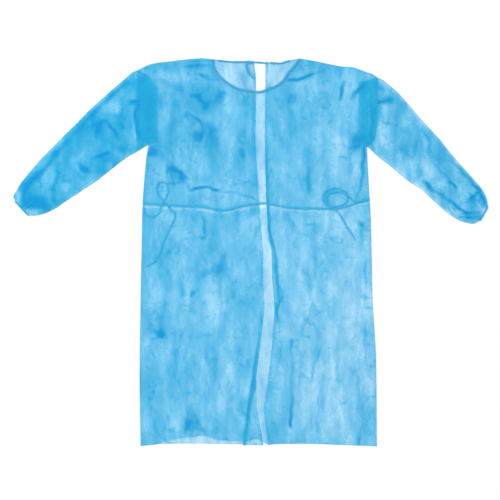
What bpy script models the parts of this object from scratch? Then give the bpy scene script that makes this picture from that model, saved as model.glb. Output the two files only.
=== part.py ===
"""A disposable visitor gown of thin blue nonwoven cloth, laid flat with its front up.

Lengths are in metres. Across runs along X from the middle of the span between the cuffs, height
runs up the gown from its lowest hem, and Z is up from the surface that the gown lies on. The gown
opens down the centre of its back, so its back is two panels with turned edges. The front lies on
both, and the heads of the sleeves are tucked in between. Left and right are as seen from above.
"""

import math
from bisect import bisect_right
from collections import namedtuple

import bmesh
import bpy
from mathutils import Vector
from mathutils.bvhtree import BVHTree

GOWN_LENGTH = 1.150
WALL = 0.0010
GAP = 0.0003
LAYER = WALL + GAP

SIDE_ROWS = 24
YOKE_ROWS = 10
SHOULDER_COLUMNS = 11
BACK_COLUMNS = 7
TURN_STEPS = 4

SLEEVE_FLAT = 2 * WALL + GAP
SLEEVE_TOP_POINTS = 21
SLEEVE_UNDER_POINTS = 8
SLEEVE_EDGE_ROUND = 0.0030
SLEEVE_EDGE_DROP = 0.00035
SLEEVE_FULLNESS = 0.7
EDGE_WALL = 0.0012
SWELL_LIMIT = 0.0036
CUFF_CUTS = 4
GATHERS_A_SIDE = 5
GATHER_DEPTH = 0.0014
ELASTIC_LENGTH = 0.0080
ELASTIC_GAP = 0.00045

BINDING_WIDTH = 0.0055
BINDING_FLAT = 0.0090
BELT_WIDTH = 0.0060
TIE_WIDTH = 0.0050
STRIP_STEP = 0.0090
STRIP_SLOPE = 0.16
LOOK_DOWN_FROM = 0.1

FOLD_LIMIT = 0.0034
FOLD_REACH = 0.75
FOLD_ENDS = 0.25
FOLD_END_SHARE = 0.35
HEAD_RAMP = 0.045
TURN_RAMP = 0.030
NECK_RAMP = 0.030
NECK_STIFFNESS = 0.8
HEAD_MARGIN = 0.008

DEEP_BLUE = (0.045, 0.42, 0.80, 1.0)
MID_BLUE = (0.11, 0.52, 0.84, 1.0)
PALE_BLUE = (0.22, 0.60, 0.86, 1.0)
BINDING_BLUE = (0.04, 0.36, 0.62, 1.0)

Edge = namedtuple("Edge", "height across")
Top = namedtuple("Top", "across height")
Opening = namedtuple("Opening", "height left right left_turn right_turn")
Cut = namedtuple("Cut", "top_across top_height under_across under_height base crown gathered")
Fold = namedtuple("Fold", "start_across start_height end_across end_height width lift")
Head = namedtuple("Head", "low high bottom top")

# The side seams, from the hem to the armpit, then the armholes up to the shoulder edge.
LEFT_SIDE = [
    Edge(0.000, -0.3286), Edge(0.196, -0.3315), Edge(0.433, -0.3286), Edge(0.581, -0.3256),
    Edge(0.714, -0.3226), Edge(0.848, -0.3123), Edge(0.892, -0.3048),
]
RIGHT_SIDE = [
    Edge(0.000, 0.3718), Edge(0.255, 0.3695), Edge(0.344, 0.3650), Edge(0.433, 0.3591),
    Edge(0.581, 0.3561), Edge(0.685, 0.3532), Edge(0.788, 0.3472), Edge(0.886, 0.3413),
]
LEFT_ARMHOLE = [
    Edge(0.892, -0.3048), Edge(0.913, -0.3345), Edge(0.951, -0.3389), Edge(1.026, -0.3404),
    Edge(1.113, -0.3404),
]
RIGHT_ARMHOLE = [
    Edge(0.886, 0.3413), Edge(0.907, 0.3650), Edge(0.951, 0.3710), Edge(1.026, 0.3739),
    Edge(1.092, 0.3739),
]

# The upper and lower edges of the panels, from left to right.
LEFT_SHOULDER = [
    Top(-0.3404, 1.113), Top(-0.2989, 1.132), Top(-0.2396, 1.141), Top(-0.1507, 1.150),
    Top(-0.1137, 1.147),
]
FRONT_NECK = [
    Top(-0.1137, 1.147), Top(-0.1077, 1.120), Top(-0.0885, 1.094), Top(-0.0618, 1.073),
    Top(-0.0351, 1.060), Top(0.0049, 1.053), Top(0.0259, 1.052), Top(0.0479, 1.060),
    Top(0.0716, 1.069), Top(0.0923, 1.084), Top(0.1101, 1.110), Top(0.1267, 1.129),
    Top(0.1412, 1.149),
]
RIGHT_SHOULDER = [
    Top(0.1412, 1.149), Top(0.1753, 1.144), Top(0.2050, 1.138), Top(0.2346, 1.132),
    Top(0.2642, 1.126), Top(0.2998, 1.123), Top(0.3413, 1.1085), Top(0.3590, 1.103),
    Top(0.3739, 1.092),
]
BACK_NECK = [
    Top(-0.1137, 1.147), Top(-0.0530, 1.141), Top(-0.0010, 1.1425), Top(0.0430, 1.1395),
    Top(0.0860, 1.137), Top(0.1100, 1.144), Top(0.1412, 1.149),
]
FRONT_HEM = [
    Top(-0.3286, 0.002), Top(-0.2840, 0.005), Top(-0.2604, 0.014), Top(-0.1774, 0.028),
    Top(-0.1330, 0.030), Top(-0.1003, 0.019), Top(-0.0300, 0.015), Top(-0.0120, 0.0155),
    Top(0.0000, 0.0200), Top(0.0190, 0.0205), Top(0.0330, 0.014), Top(0.0460, 0.0068),
    Top(0.0716, 0.007), Top(0.1753, 0.0075), Top(0.2790, 0.004), Top(0.3718, 0.000),
]
BACK_HEM = [
    Top(-0.3286, 0.000), Top(-0.2900, 0.006), Top(-0.1770, 0.008), Top(-0.0320, 0.006),
    Top(0.0300, 0.003), Top(0.0860, 0.007), Top(0.1750, 0.0075), Top(0.2640, 0.004),
    Top(0.3718, 0.000),
]

# The opening down the back: where each panel ends, and how much of its edge is turned over.
BACK_OPENING = [
    Opening(0.000, 0.0360, 0.0480, 0.060, 0.006), Opening(0.038, 0.0290, 0.0430, 0.048, 0.006),
    Opening(0.110, 0.0165, 0.0350, 0.028, 0.006), Opening(0.202, 0.0140, 0.0490, 0.011, 0.006),
    Opening(0.296, 0.0259, 0.0600, 0.009, 0.006), Opening(0.385, 0.0370, 0.0665, 0.008, 0.007),
    Opening(0.415, 0.0402, 0.0675, 0.006, 0.014), Opening(0.486, 0.0354, 0.0612, 0.006, 0.016),
    Opening(0.581, 0.0354, 0.0585, 0.006, 0.010), Opening(0.640, 0.0300, 0.0480, 0.006, 0.006),
    Opening(0.738, 0.0230, 0.0428, 0.006, 0.007), Opening(0.907, 0.0123, 0.0390, 0.006, 0.006),
    Opening(1.070, 0.0141, 0.0408, 0.006, 0.006), Opening(1.150, 0.0022, 0.0419, 0.006, 0.006),
]

# Cuts across the sleeves, from the head inside the body to the cuff: the ends of each cut on the
# shoulder edge and on the underarm seam, how high it lies, its swell, and how far it is gathered.
LEFT_SLEEVE = [
    Cut(-0.2780, 1.063, -0.2780, 0.906, LAYER, 0.0000, 0.0),
    Cut(-0.3090, 1.100, -0.3070, 0.894, LAYER, 0.0000, 0.0),
    Cut(-0.3435, 1.108, -0.3435, 0.871, LAYER, 0.0002, 0.0),
    Cut(-0.3760, 1.088, -0.3640, 0.860, 0.0, 0.0016, 0.0),
    Cut(-0.4110, 1.058, -0.3940, 0.838, 0.0, 0.0018, 0.0),
    Cut(-0.4470, 1.026, -0.4290, 0.810, 0.0, 0.0019, 0.0),
    Cut(-0.4830, 0.993, -0.4650, 0.782, 0.0, 0.0020, 0.0),
    Cut(-0.5180, 0.957, -0.4950, 0.763, 0.0, 0.0020, 0.0),
    Cut(-0.5540, 0.922, -0.5210, 0.745, 0.0, 0.0020, 0.0),
    Cut(-0.5890, 0.886, -0.5480, 0.728, 0.0, 0.0020, 0.0),
    Cut(-0.6250, 0.850, -0.5720, 0.711, 0.0, 0.0020, 0.0),
    Cut(-0.6600, 0.809, -0.5830, 0.704, 0.0, 0.0020, 0.0),
    Cut(-0.6840, 0.779, -0.6020, 0.695, 0.0, 0.0019, 0.2),
    Cut(-0.6960, 0.758, -0.6200, 0.688, 0.0, 0.0018, 0.5),
    Cut(-0.7050, 0.742, -0.6400, 0.684, 0.0, 0.0016, 0.8),
    Cut(-0.7010, 0.729, -0.6590, 0.684, 0.0, 0.0014, 1.0),
]
RIGHT_SLEEVE = [
    Cut(0.3170, 1.078, 0.3170, 0.906, LAYER, 0.0000, 0.0),
    Cut(0.3420, 1.084, 0.3430, 0.889, LAYER, 0.0000, 0.0),
    Cut(0.3770, 1.088, 0.3770, 0.857, LAYER, 0.0002, 0.0),
    Cut(0.4070, 1.071, 0.4010, 0.839, 0.0, 0.0018, 0.0),
    Cut(0.4360, 1.046, 0.4250, 0.820, 0.0, 0.0018, 0.0),
    Cut(0.4660, 1.012, 0.4510, 0.797, 0.0, 0.0020, 0.0),
    Cut(0.4950, 0.978, 0.4790, 0.777, 0.0, 0.0020, 0.0),
    Cut(0.5250, 0.945, 0.5060, 0.760, 0.0, 0.0020, 0.0),
    Cut(0.5550, 0.913, 0.5310, 0.736, 0.0, 0.0020, 0.0),
    Cut(0.5810, 0.880, 0.5550, 0.714, 0.0, 0.0020, 0.0),
    Cut(0.6080, 0.848, 0.5790, 0.693, 0.0, 0.0020, 0.0),
    Cut(0.6350, 0.818, 0.6020, 0.677, 0.0, 0.0020, 0.1),
    Cut(0.6610, 0.788, 0.6230, 0.667, 0.0, 0.0019, 0.3),
    Cut(0.6830, 0.762, 0.6440, 0.661, 0.0, 0.0018, 0.6),
    Cut(0.6970, 0.736, 0.6610, 0.660, 0.0, 0.0016, 0.8),
    Cut(0.7006, 0.713, 0.6746, 0.668, 0.0, 0.0014, 1.0),
]
HEADS = [Head(-0.3600, -0.2780, 0.895, 1.110), Head(0.3170, 0.3900, 0.890, 1.100)]

# The largest folds in the front and the sleeves, each a soft ridge along a line.
FRONT_FOLDS = [
    Fold(0.270, 1.108, 0.260, 1.026, 0.034, 0.0026), Fold(0.098, 1.080, 0.200, 1.112, 0.034, 0.0032),
    Fold(0.255, 0.886, 0.330, 0.918, 0.040, 0.0026), Fold(0.131, 0.590, 0.118, 0.300, 0.046, 0.0029),
    Fold(0.118, 0.330, 0.116, 0.040, 0.038, 0.0034), Fold(0.168, 0.395, 0.210, 0.309, 0.038, 0.0032),
    Fold(0.210, 0.320, 0.178, 0.190, 0.038, 0.0032), Fold(0.164, 0.380, 0.136, 0.300, 0.034, 0.0020),
    Fold(-0.225, 1.020, -0.148, 0.925, 0.042, 0.0026), Fold(-0.182, 0.760, -0.080, 0.757, 0.036, 0.0029),
    Fold(-0.090, 0.758, 0.030, 0.728, 0.036, 0.0026), Fold(-0.142, 0.700, -0.142, 0.600, 0.040, 0.0020),
    Fold(-0.235, 0.560, -0.215, 0.230, 0.070, 0.0023), Fold(-0.120, 0.480, -0.095, 0.120, 0.070, 0.0023),
    Fold(-0.190, 0.240, -0.170, 0.030, 0.060, 0.0026), Fold(0.255, 0.640, 0.240, 0.330, 0.060, 0.0020),
    Fold(0.330, 0.600, 0.322, 0.020, 0.032, 0.0017), Fold(-0.110, 1.030, -0.060, 0.860, 0.060, 0.0020),
    Fold(0.150, 1.010, 0.165, 0.800, 0.060, 0.0020), Fold(-0.300, 0.880, -0.240, 0.800, 0.046, 0.0020),
]
LEFT_SLEEVE_FOLDS = [
    Fold(-0.450, 0.985, -0.385, 0.880, 0.036, 0.0023), Fold(-0.480, 0.862, -0.400, 0.880, 0.034, 0.0023),
    Fold(-0.560, 0.850, -0.500, 0.790, 0.050, -0.0016), Fold(-0.640, 0.800, -0.570, 0.860, 0.050, 0.0020),
    Fold(-0.520, 0.900, -0.460, 0.960, 0.050, -0.0016), Fold(-0.690, 0.735, -0.640, 0.790, 0.026, 0.0020),
]
RIGHT_SLEEVE_FOLDS = [
    Fold(0.515, 0.785, 0.640, 0.690, 0.034, 0.0029), Fold(0.555, 0.815, 0.610, 0.755, 0.034, 0.0023),
    Fold(0.640, 0.800, 0.684, 0.735, 0.030, 0.0023), Fold(0.420, 0.960, 0.400, 0.870, 0.040, 0.0020),
    Fold(0.480, 0.900, 0.540, 0.840, 0.050, -0.0016), Fold(0.430, 1.020, 0.500, 0.930, 0.050, 0.0020),
]

# The lines of the narrow strips, from above.
BELT_LINE = [
    Top(-0.3185, 0.719), Top(-0.1993, 0.712), Top(-0.1507, 0.710), Top(-0.0805, 0.700),
    Top(-0.0322, 0.711), Top(0.0360, 0.720), Top(0.1101, 0.708), Top(0.1812, 0.705),
    Top(0.2524, 0.705), Top(0.3087, 0.720), Top(0.3472, 0.732),
]
LEFT_TIE_LINE = [
    Top(-0.3190, 0.7060), Top(-0.3150, 0.6900), Top(-0.3030, 0.6810), Top(-0.2880, 0.6810),
    Top(-0.2740, 0.6920), Top(-0.2660, 0.7150), Top(-0.2530, 0.7380), Top(-0.2470, 0.7620),
    Top(-0.2580, 0.7830), Top(-0.2760, 0.7790), Top(-0.2810, 0.7590), Top(-0.2690, 0.7370),
    Top(-0.2540, 0.7190), Top(-0.2390, 0.7030), Top(-0.2270, 0.6860), Top(-0.2310, 0.6680),
    Top(-0.2417, 0.6460), Top(-0.2604, 0.6040), Top(-0.2734, 0.5690), Top(-0.2921, 0.5430),
    Top(-0.3108, 0.5330),
]
RIGHT_TIE_LINE = [
    Top(0.3472, 0.7300), Top(0.3250, 0.7270), Top(0.3030, 0.7270), Top(0.2860, 0.7440),
    Top(0.2660, 0.7620), Top(0.2420, 0.7640), Top(0.2200, 0.7560), Top(0.2110, 0.7360),
    Top(0.2210, 0.7170), Top(0.2420, 0.7110), Top(0.2660, 0.7140), Top(0.2820, 0.7260),
    Top(0.2830, 0.7430), Top(0.2680, 0.7530), Top(0.2440, 0.7540), Top(0.2270, 0.7470),
    Top(0.2210, 0.7310), Top(0.2300, 0.7120), Top(0.2480, 0.7010), Top(0.2610, 0.6880),
    Top(0.2760, 0.6620), Top(0.2940, 0.6330), Top(0.3080, 0.6110),
]
NECK_TIE_LINE = [
    Top(0.0500, 1.1340), Top(0.0250, 1.1370), Top(0.0000, 1.1370), Top(-0.0150, 1.1300),
    Top(-0.0110, 1.1120), Top(-0.0010, 1.0980), Top(0.0060, 1.0900),
]
LEFT_BACK_BINDING = (-0.0980, -0.0040)
RIGHT_BACK_BINDING = (0.0560, 0.1140)


def clear_scene():
    for item in list(bpy.data.objects):
        bpy.data.objects.remove(item, do_unlink=True)


def blend(low, high, share):
    return low + (high - low) * share


def soft_step(share):
    share = min(max(share, 0.0), 1.0)
    return share * share * (3 - 2 * share)


def through(rows, place, value=1):
    """A column's value at a place between the rows, on a smooth curve through them all."""
    places = [row[0] for row in rows]
    k = min(max(bisect_right(places, place) - 1, 0), len(rows) - 2)

    def slope(i):
        low, high = rows[max(i - 1, 0)], rows[min(i + 1, len(rows) - 1)]
        return (high[value] - low[value]) / (high[0] - low[0])

    span = places[k + 1] - places[k]
    t = min(max((place - places[k]) / span, 0.0), 1.0)
    ahead = soft_step(t)
    bend = t * (1 - t) ** 2 * slope(k) - t * t * (1 - t) * slope(k + 1)
    return blend(rows[k][value], rows[k + 1][value], ahead) + bend * span


def straight(rows, place, value=1):
    """A column's value at a place between the rows, on straight lines between them."""
    places = [row[0] for row in rows]
    k = min(max(bisect_right(places, place) - 1, 0), len(rows) - 2)
    t = (place - places[k]) / (places[k + 1] - places[k])
    return blend(rows[k][value], rows[k + 1][value], min(max(t, 0.0), 1.0))


def point(across, height, z):
    return Vector((across, height - GOWN_LENGTH / 2, z))


def fold_lift(folds, across, height):
    """How far the folds raise the cloth at a place; each fades at its ends and to its sides."""
    total = 0.0
    for fold in folds:
        start = Vector((fold.start_across, fold.start_height))
        run = Vector((fold.end_across, fold.end_height)) - start
        away = Vector((across, height)) - start
        along = away.dot(run) / run.length_squared
        beside = abs(away.cross(run)) / run.length
        overrun = max(-along, along - 1, 0.0) * run.length
        side = 1 - soft_step(math.hypot(beside, overrun) / (fold.width * FOLD_REACH))
        taper = soft_step(min(along, 1 - along) / FOLD_ENDS + FOLD_END_SHARE)
        total += fold.lift * side * taper
    return max(min(total, FOLD_LIMIT), -FOLD_LIMIT)


def material(name, color, roughness):
    made = bpy.data.materials.new(name)
    made.use_nodes = True
    shader = made.node_tree.nodes["Principled BSDF"]
    shader.inputs["Base Color"].default_value = color
    shader.inputs["Roughness"].default_value = roughness
    shader.inputs["Metallic"].default_value = 0.0
    return made


def add_object(name, mesh, color, roughness=0.75):
    made = bpy.data.objects.new(name, mesh)
    mesh.materials.append(material(name + "_cloth", color, roughness))
    bpy.data.collections["visitor_gown"].objects.link(made)
    mesh.shade_smooth()
    return made


def grid_mesh(name, rows):
    """An open sheet through rows of points, each row as long as the next."""
    work = bmesh.new()
    corners = [[work.verts.new(place) for place in row] for row in rows]
    for low, high in zip(corners, corners[1:]):
        for k in range(len(low) - 1):
            work.faces.new((low[k], low[k + 1], high[k + 1], high[k]))
    mesh = bpy.data.meshes.new(name)
    work.to_mesh(mesh)
    work.free()
    return mesh


def add_wall(sheet, side):
    """Makes the sheet a wall: side 1 adds it above the sheet, and 0 puts the sheet in its middle."""
    wall = sheet.modifiers.new("cloth wall", "SOLIDIFY")
    wall.thickness = WALL
    wall.offset = side
    wall.use_even_offset = True


def loft_mesh(name, rings, hollow_rings=None):
    """A closed solid through rings of points, with a hollow right through it or with flat ends."""
    work = bmesh.new()

    def skin(loops):
        made = [[work.verts.new(place) for place in ring] for ring in loops]
        for low, high in zip(made, made[1:]):
            for k in range(len(low)):
                n = (k + 1) % len(low)
                work.faces.new((low[k], low[n], high[n], high[k]))
        return made

    outer = skin(rings)
    if hollow_rings:
        inner = skin(hollow_rings)
        for a, b in ((outer[0], inner[0]), (outer[-1], inner[-1])):
            for k in range(len(a)):
                n = (k + 1) % len(a)
                work.faces.new((a[k], a[n], b[n], b[k]))
    else:
        work.faces.new(outer[0])
        work.faces.new(outer[-1])
    bmesh.ops.recalc_face_normals(work, faces=work.faces)
    mesh = bpy.data.meshes.new(name)
    work.to_mesh(mesh)
    work.free()
    return mesh


def row_shares():
    """The rows from hem to shoulder: (below the armpit or above it, share of the way up that part)."""
    low = [("side", k / SIDE_ROWS) for k in range(SIDE_ROWS)]
    high = [("yoke", k / YOKE_ROWS) for k in range(YOKE_ROWS + 1)]
    return low + high


def edge_points(part, share, hem, top_left, top_right):
    """The left and right ends of a row of a panel, as (across, height)."""
    ends = []
    for side, armhole, hem_row, top in (
        (LEFT_SIDE, LEFT_ARMHOLE, hem[0], top_left), (RIGHT_SIDE, RIGHT_ARMHOLE, hem[-1], top_right)
    ):
        armpit = side[-1].height
        if part == "side":
            height = blend(hem_row.height, armpit, share)
            ends.append((through(side, height), height))
        else:
            height = blend(armpit, top, share)
            ends.append((straight(armhole, height), height))
    return ends


def front_top(across):
    if across <= FRONT_NECK[0].across:
        return through(LEFT_SHOULDER, across)
    if across >= FRONT_NECK[-1].across:
        return through(RIGHT_SHOULDER, across)
    return straight(FRONT_NECK, across)


def back_top(across):
    if across <= BACK_NECK[0].across:
        return through(LEFT_SHOULDER, across)
    if across >= BACK_NECK[-1].across:
        return through(RIGHT_SHOULDER, across)
    return straight(BACK_NECK, across)


def panel_place(column_top, share_across, part, share, ends, hem_height):
    """A panel's point: across between its row's ends, up between the hem, armpits and top edge."""
    (left, _), (right, _) = ends
    armpit = blend(LEFT_SIDE[-1].height, RIGHT_SIDE[-1].height, share_across)
    across = blend(left, right, share_across)
    if part == "side":
        return across, blend(hem_height, armpit, share)
    return across, blend(armpit, column_top, share)


def neck_distance(across, height):
    """How far a place is from the front neckline."""
    here = Vector((across, height))
    best = math.inf
    for low, high in zip(FRONT_NECK, FRONT_NECK[1:]):
        start = Vector(low)
        run = Vector(high) - start
        along = min(max((here - start).dot(run) / run.length_squared, 0.0), 1.0)
        best = min(best, (start + run * along - here).length)
    return best


def head_distance(across, height):
    """How far a place is from the nearest sleeve head."""
    best = math.inf
    for head in HEADS:
        beside = max(head.low - across, across - head.high, 0.0)
        above = max(head.bottom - height, height - head.top, 0.0)
        best = min(best, math.hypot(beside, above))
    return best


def turn_distance(across, height):
    """How far a place is from the opening and the turned edges beside it."""
    left = straight(BACK_OPENING, height, 1) - straight(BACK_OPENING, height, 3)
    right = straight(BACK_OPENING, height, 2) + straight(BACK_OPENING, height, 4)
    return max(left - across, across - right, 0.0)


def front_underside(across, height):
    """How high the front's underside lies: on the back, or on what is tucked between."""
    over_head = 1 - soft_step((head_distance(across, height) - HEAD_MARGIN) / HEAD_RAMP)
    over_turn = 1 - soft_step((turn_distance(across, height) - HEAD_MARGIN) / TURN_RAMP)
    over_neck = 1 - soft_step((neck_distance(across, height) - BINDING_FLAT) / NECK_RAMP)
    lift = max(2 * LAYER * over_head, LAYER * over_turn)
    free = 1 - max(over_head, over_neck * NECK_STIFFNESS)
    return LAYER + lift + LAYER * over_neck + fold_lift(FRONT_FOLDS, across, height) * free


def front_columns():
    """Where the front's columns stand at its top: even on the shoulders, at each neckline row."""
    left, right = LEFT_SHOULDER[0].across, RIGHT_SHOULDER[-1].across
    neck = [row.across for row in FRONT_NECK]
    low = [blend(left, neck[0], k / SHOULDER_COLUMNS) for k in range(SHOULDER_COLUMNS)]
    high = [blend(neck[-1], right, (k + 1) / SHOULDER_COLUMNS) for k in range(SHOULDER_COLUMNS)]
    return low + neck + high


def add_front():
    columns = front_columns()
    left, right = columns[0], columns[-1]
    rows = []
    for part, share in row_shares():
        ends = edge_points(part, share, FRONT_HEM, LEFT_SHOULDER[0].height, RIGHT_SHOULDER[-1].height)
        row = []
        for at_top in columns:
            share_across = (at_top - left) / (right - left)
            hem = through(FRONT_HEM, blend(FRONT_HEM[0].across, FRONT_HEM[-1].across, share_across))
            across, height = panel_place(front_top(at_top), share_across, part, share, ends, hem)
            row.append(point(across, height, front_underside(across, height)))
        rows.append(row)
    front = add_object("front_panel", grid_mesh("front_panel", rows), MID_BLUE)
    add_wall(front, 1)
    return front


def turned_edge(edge, height, width, way):
    """The points round a turned edge, after the flat panel: way is 1 where the edge faces right."""
    radius = LAYER / 2
    centre = edge - way * (radius + WALL / 2)
    made = []
    for k in range(1, TURN_STEPS + 1):
        angle = math.pi * k / TURN_STEPS
        made.append(point(centre + way * radius * math.sin(angle), height,
                          WALL / 2 + radius - radius * math.cos(angle)))
    for share in (0.5, 1.0):
        made.append(point(centre - way * width * share, height, WALL / 2 + LAYER))
    return made


def add_back(name, way):
    """One back panel. Way is 1 for the panel on the left, whose turned edge faces right."""
    edge_column, turn_column = (1, 3) if way > 0 else (2, 4)
    top_left, top_right = LEFT_SHOULDER[0].across, RIGHT_SHOULDER[-1].across
    inset = LAYER / 2 + WALL / 2
    rows = []
    for part, share in row_shares()[::2]:
        ends = edge_points(part, share, BACK_HEM, LEFT_SHOULDER[0].height, RIGHT_SHOULDER[-1].height)
        outer, outer_height = ends[0] if way > 0 else ends[1]
        edge = straight(BACK_OPENING, outer_height, edge_column)
        row = []
        for k in range(BACK_COLUMNS + 1):
            across = blend(outer, edge - way * inset, k / BACK_COLUMNS)
            share_across = (across - ends[0][0]) / (ends[1][0] - ends[0][0])
            hem = through(BACK_HEM, blend(BACK_HEM[0].across, BACK_HEM[-1].across, share_across))
            top = back_top(blend(top_left, top_right, share_across))
            _, height = panel_place(top, share_across, part, share, ends, hem)
            row.append(point(across, height, WALL / 2))
        row += turned_edge(edge, height, straight(BACK_OPENING, outer_height, turn_column), way)
        rows.append(row)
    back = add_object(name, grid_mesh(name, rows), PALE_BLUE)
    add_wall(back, 0)
    return back


def ring_shares(count, edge_share):
    """Places along one side of a flattened ring, from -1 to 1, close together at its edges."""
    inner = [blend(-1 + edge_share, 1 - edge_share, k / (count - 3)) for k in range(count - 2)]
    return [-1.0] + inner + [1.0]


def sleeve_ring(cut, folds, inset):
    """The points round a cut through the sleeve: the outside of its wall, or the inside if inset."""
    top = Vector((cut.top_across, cut.top_height))
    under = Vector((cut.under_across, cut.under_height))
    middle, half = (top + under) / 2, (top - under) / 2
    reach = half.normalized() * (half.length - (EDGE_WALL if inset else 0.0))
    edge_share = SLEEVE_EDGE_ROUND / half.length
    ring = []
    for side, count in ((1, SLEEVE_TOP_POINTS), (-1, SLEEVE_UNDER_POINTS)):
        for share in ring_shares(count, edge_share):
            share *= side
            place = middle + reach * share
            swell = cut.crown * (1 - share * share) ** SLEEVE_FULLNESS
            wave = 0.5 - 0.5 * math.cos(math.pi * (share + 1) * GATHERS_A_SIDE)
            swell += cut.gathered * GATHER_DEPTH * wave
            if cut.crown:
                swell += fold_lift(folds, place.x, place.y) * (1 - share * share) ** 0.5
            swell = min(max(swell, 0.0), SWELL_LIMIT)
            at_edge = abs(share) > 1 - edge_share / 2 and not inset
            edge = SLEEVE_EDGE_DROP if at_edge else 0.0
            if side > 0:
                z = cut.base + SLEEVE_FLAT + swell - inset - edge
            else:
                z = cut.base + inset + edge
            ring.append(point(place.x, place.y, z))
    return ring


def midway(low, high):
    return Cut(*[(a + b) / 2 for a, b in zip(low, high)])


def add_sleeve(name, cuts, folds):
    stations = cuts[:-CUFF_CUTS]
    for low, high in zip(cuts[-CUFF_CUTS - 1:], cuts[-CUFF_CUTS:]):
        stations += [midway(low, high), high]
    outer = [sleeve_ring(cut, folds, 0.0) for cut in stations]
    inner = [sleeve_ring(cut, folds, WALL) for cut in stations]
    return add_object(name, loft_mesh(name, outer, inner), MID_BLUE)


def add_elastic(name, cuts):
    """The elastic that gathers a cuff: a short tube just past the sleeve's last cut."""
    last, before = cuts[-1], cuts[-2]
    ends = []
    for past in (ELASTIC_GAP, ELASTIC_LENGTH):
        step = []
        for a, b in ((0, 1), (2, 3)):
            run = Vector((last[a] - before[a], last[b] - before[b]))
            run += Vector((last[0] + last[2] - before[0] - before[2],
                           last[1] + last[3] - before[1] - before[3]))
            step.append(Vector((last[a], last[b])) + run.normalized() * past)
        ends.append(last._replace(top_across=step[0].x, top_height=step[0].y,
                                  under_across=step[1].x, under_height=step[1].y))
    outer = [sleeve_ring(cut, [], 0.0) for cut in ends]
    inner = [sleeve_ring(cut, [], WALL) for cut in ends]
    return add_object(name, loft_mesh(name, outer, inner), DEEP_BLUE)


def smooth_line(rows, step):
    """Points a step apart on a smooth curve through a strip's rows."""
    reach = [0.0]
    for low, high in zip(rows, rows[1:]):
        reach.append(reach[-1] + (Vector(high) - Vector(low)).length)
    table = [(far, row[0], row[1]) for far, row in zip(reach, rows)]
    count = round(reach[-1] / step)
    places = [reach[-1] * k / count for k in range(count + 1)]
    return [Vector((through(table, far, 1), through(table, far, 2))) for far in places]


def surface_height(trees, places):
    """The highest point of what lies under any of the places, looking straight down."""
    highest = 0.0
    for place in places:
        above = point(place.x, place.y, LOOK_DOWN_FROM)
        for tree in trees:
            hit = tree.ray_cast(above, Vector((0, 0, -1)))[0]
            if hit:
                highest = max(highest, hit.z)
    return highest


def along_and_beside(line, k):
    """The unit vectors along a line and to its left at one of its points."""
    run = (line[min(k + 1, len(line) - 1)] - line[max(k - 1, 0)]).normalized()
    return run, Vector((-run.y, run.x))


def resting_heights(line, width, under):
    """How high each point of a strip lies: clear of what is under it and of its own earlier turns."""
    graph = bpy.context.evaluated_depsgraph_get()
    trees = [BVHTree.FromObject(item, graph) for item in under]
    wanted = []
    for k, place in enumerate(line):
        run, side = along_and_beside(line, k)
        near = [place + run * STRIP_STEP * a / 4 + side * width * b / 2
                for a in range(-4, 5) for b in (-1, 0, 1)]
        height = surface_height(trees, near) + GAP
        for j in range(k - 4):
            if (line[j] - place).length < width + STRIP_STEP:
                height = max(height, wanted[j] + LAYER)
        wanted.append(height)
    for sweep in (range(1, len(line)), range(len(line) - 2, -1, -1)):
        for k in sweep:
            other = k - 1 if sweep.step > 0 else k + 1
            fall = (line[k] - line[other]).length * STRIP_SLOPE
            wanted[k] = max(wanted[k], wanted[other] - fall)
    return wanted


def add_strip(name, rows, width, under, color):
    """A narrow flat strip of cloth, lying along a line on top of what is under it."""
    line = smooth_line(rows, STRIP_STEP)
    heights = resting_heights(line, width, under)
    rings = []
    for k, (place, low) in enumerate(zip(line, heights)):
        _, side = along_and_beside(line, k)
        left, right = place + side * width / 2, place - side * width / 2
        rings.append([
            point(right.x, right.y, low), point(left.x, left.y, low),
            point(left.x, left.y, low + WALL), point(right.x, right.y, low + WALL),
        ])
    return add_object(name, loft_mesh(name, rings), color)


def add_front_binding(front):
    """The folded strip round the front neckline: over the cloth, round its edge and under it."""
    tree = BVHTree.FromObject(front, bpy.context.evaluated_depsgraph_get())
    line = [Vector(row) for row in FRONT_NECK]
    rings = []
    for k, place in enumerate(line):
        _, out = along_and_beside(line, k)
        onto = place - out * BINDING_WIDTH
        low = front_underside(place.x, place.y) - GAP
        covered = [blend(place, onto, share) for share in (0.05, 0.35, 0.7, 1.0)]
        top = surface_height([tree], covered) + GAP
        near, far = place + out * GAP, place + out * LAYER
        rings.append([
            point(onto.x, onto.y, top + WALL), point(far.x, far.y, top + WALL),
            point(far.x, far.y, low - WALL), point(onto.x, onto.y, low - WALL),
            point(onto.x, onto.y, low), point(near.x, near.y, low),
            point(near.x, near.y, top), point(onto.x, onto.y, top),
        ])
    return add_object("neck_binding_front", loft_mesh("neck_binding_front", rings), BINDING_BLUE)


def add_back_binding(name, span, back):
    """A strip along the back neckline of one back panel, just inside its edge."""
    count = 5
    rows = []
    for k in range(count):
        across = blend(span[0], span[1], k / (count - 1))
        rows.append(Top(across, straight(BACK_NECK, across) - BINDING_WIDTH / 2))
    return add_strip(name, rows, BINDING_WIDTH, [back], BINDING_BLUE)


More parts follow.
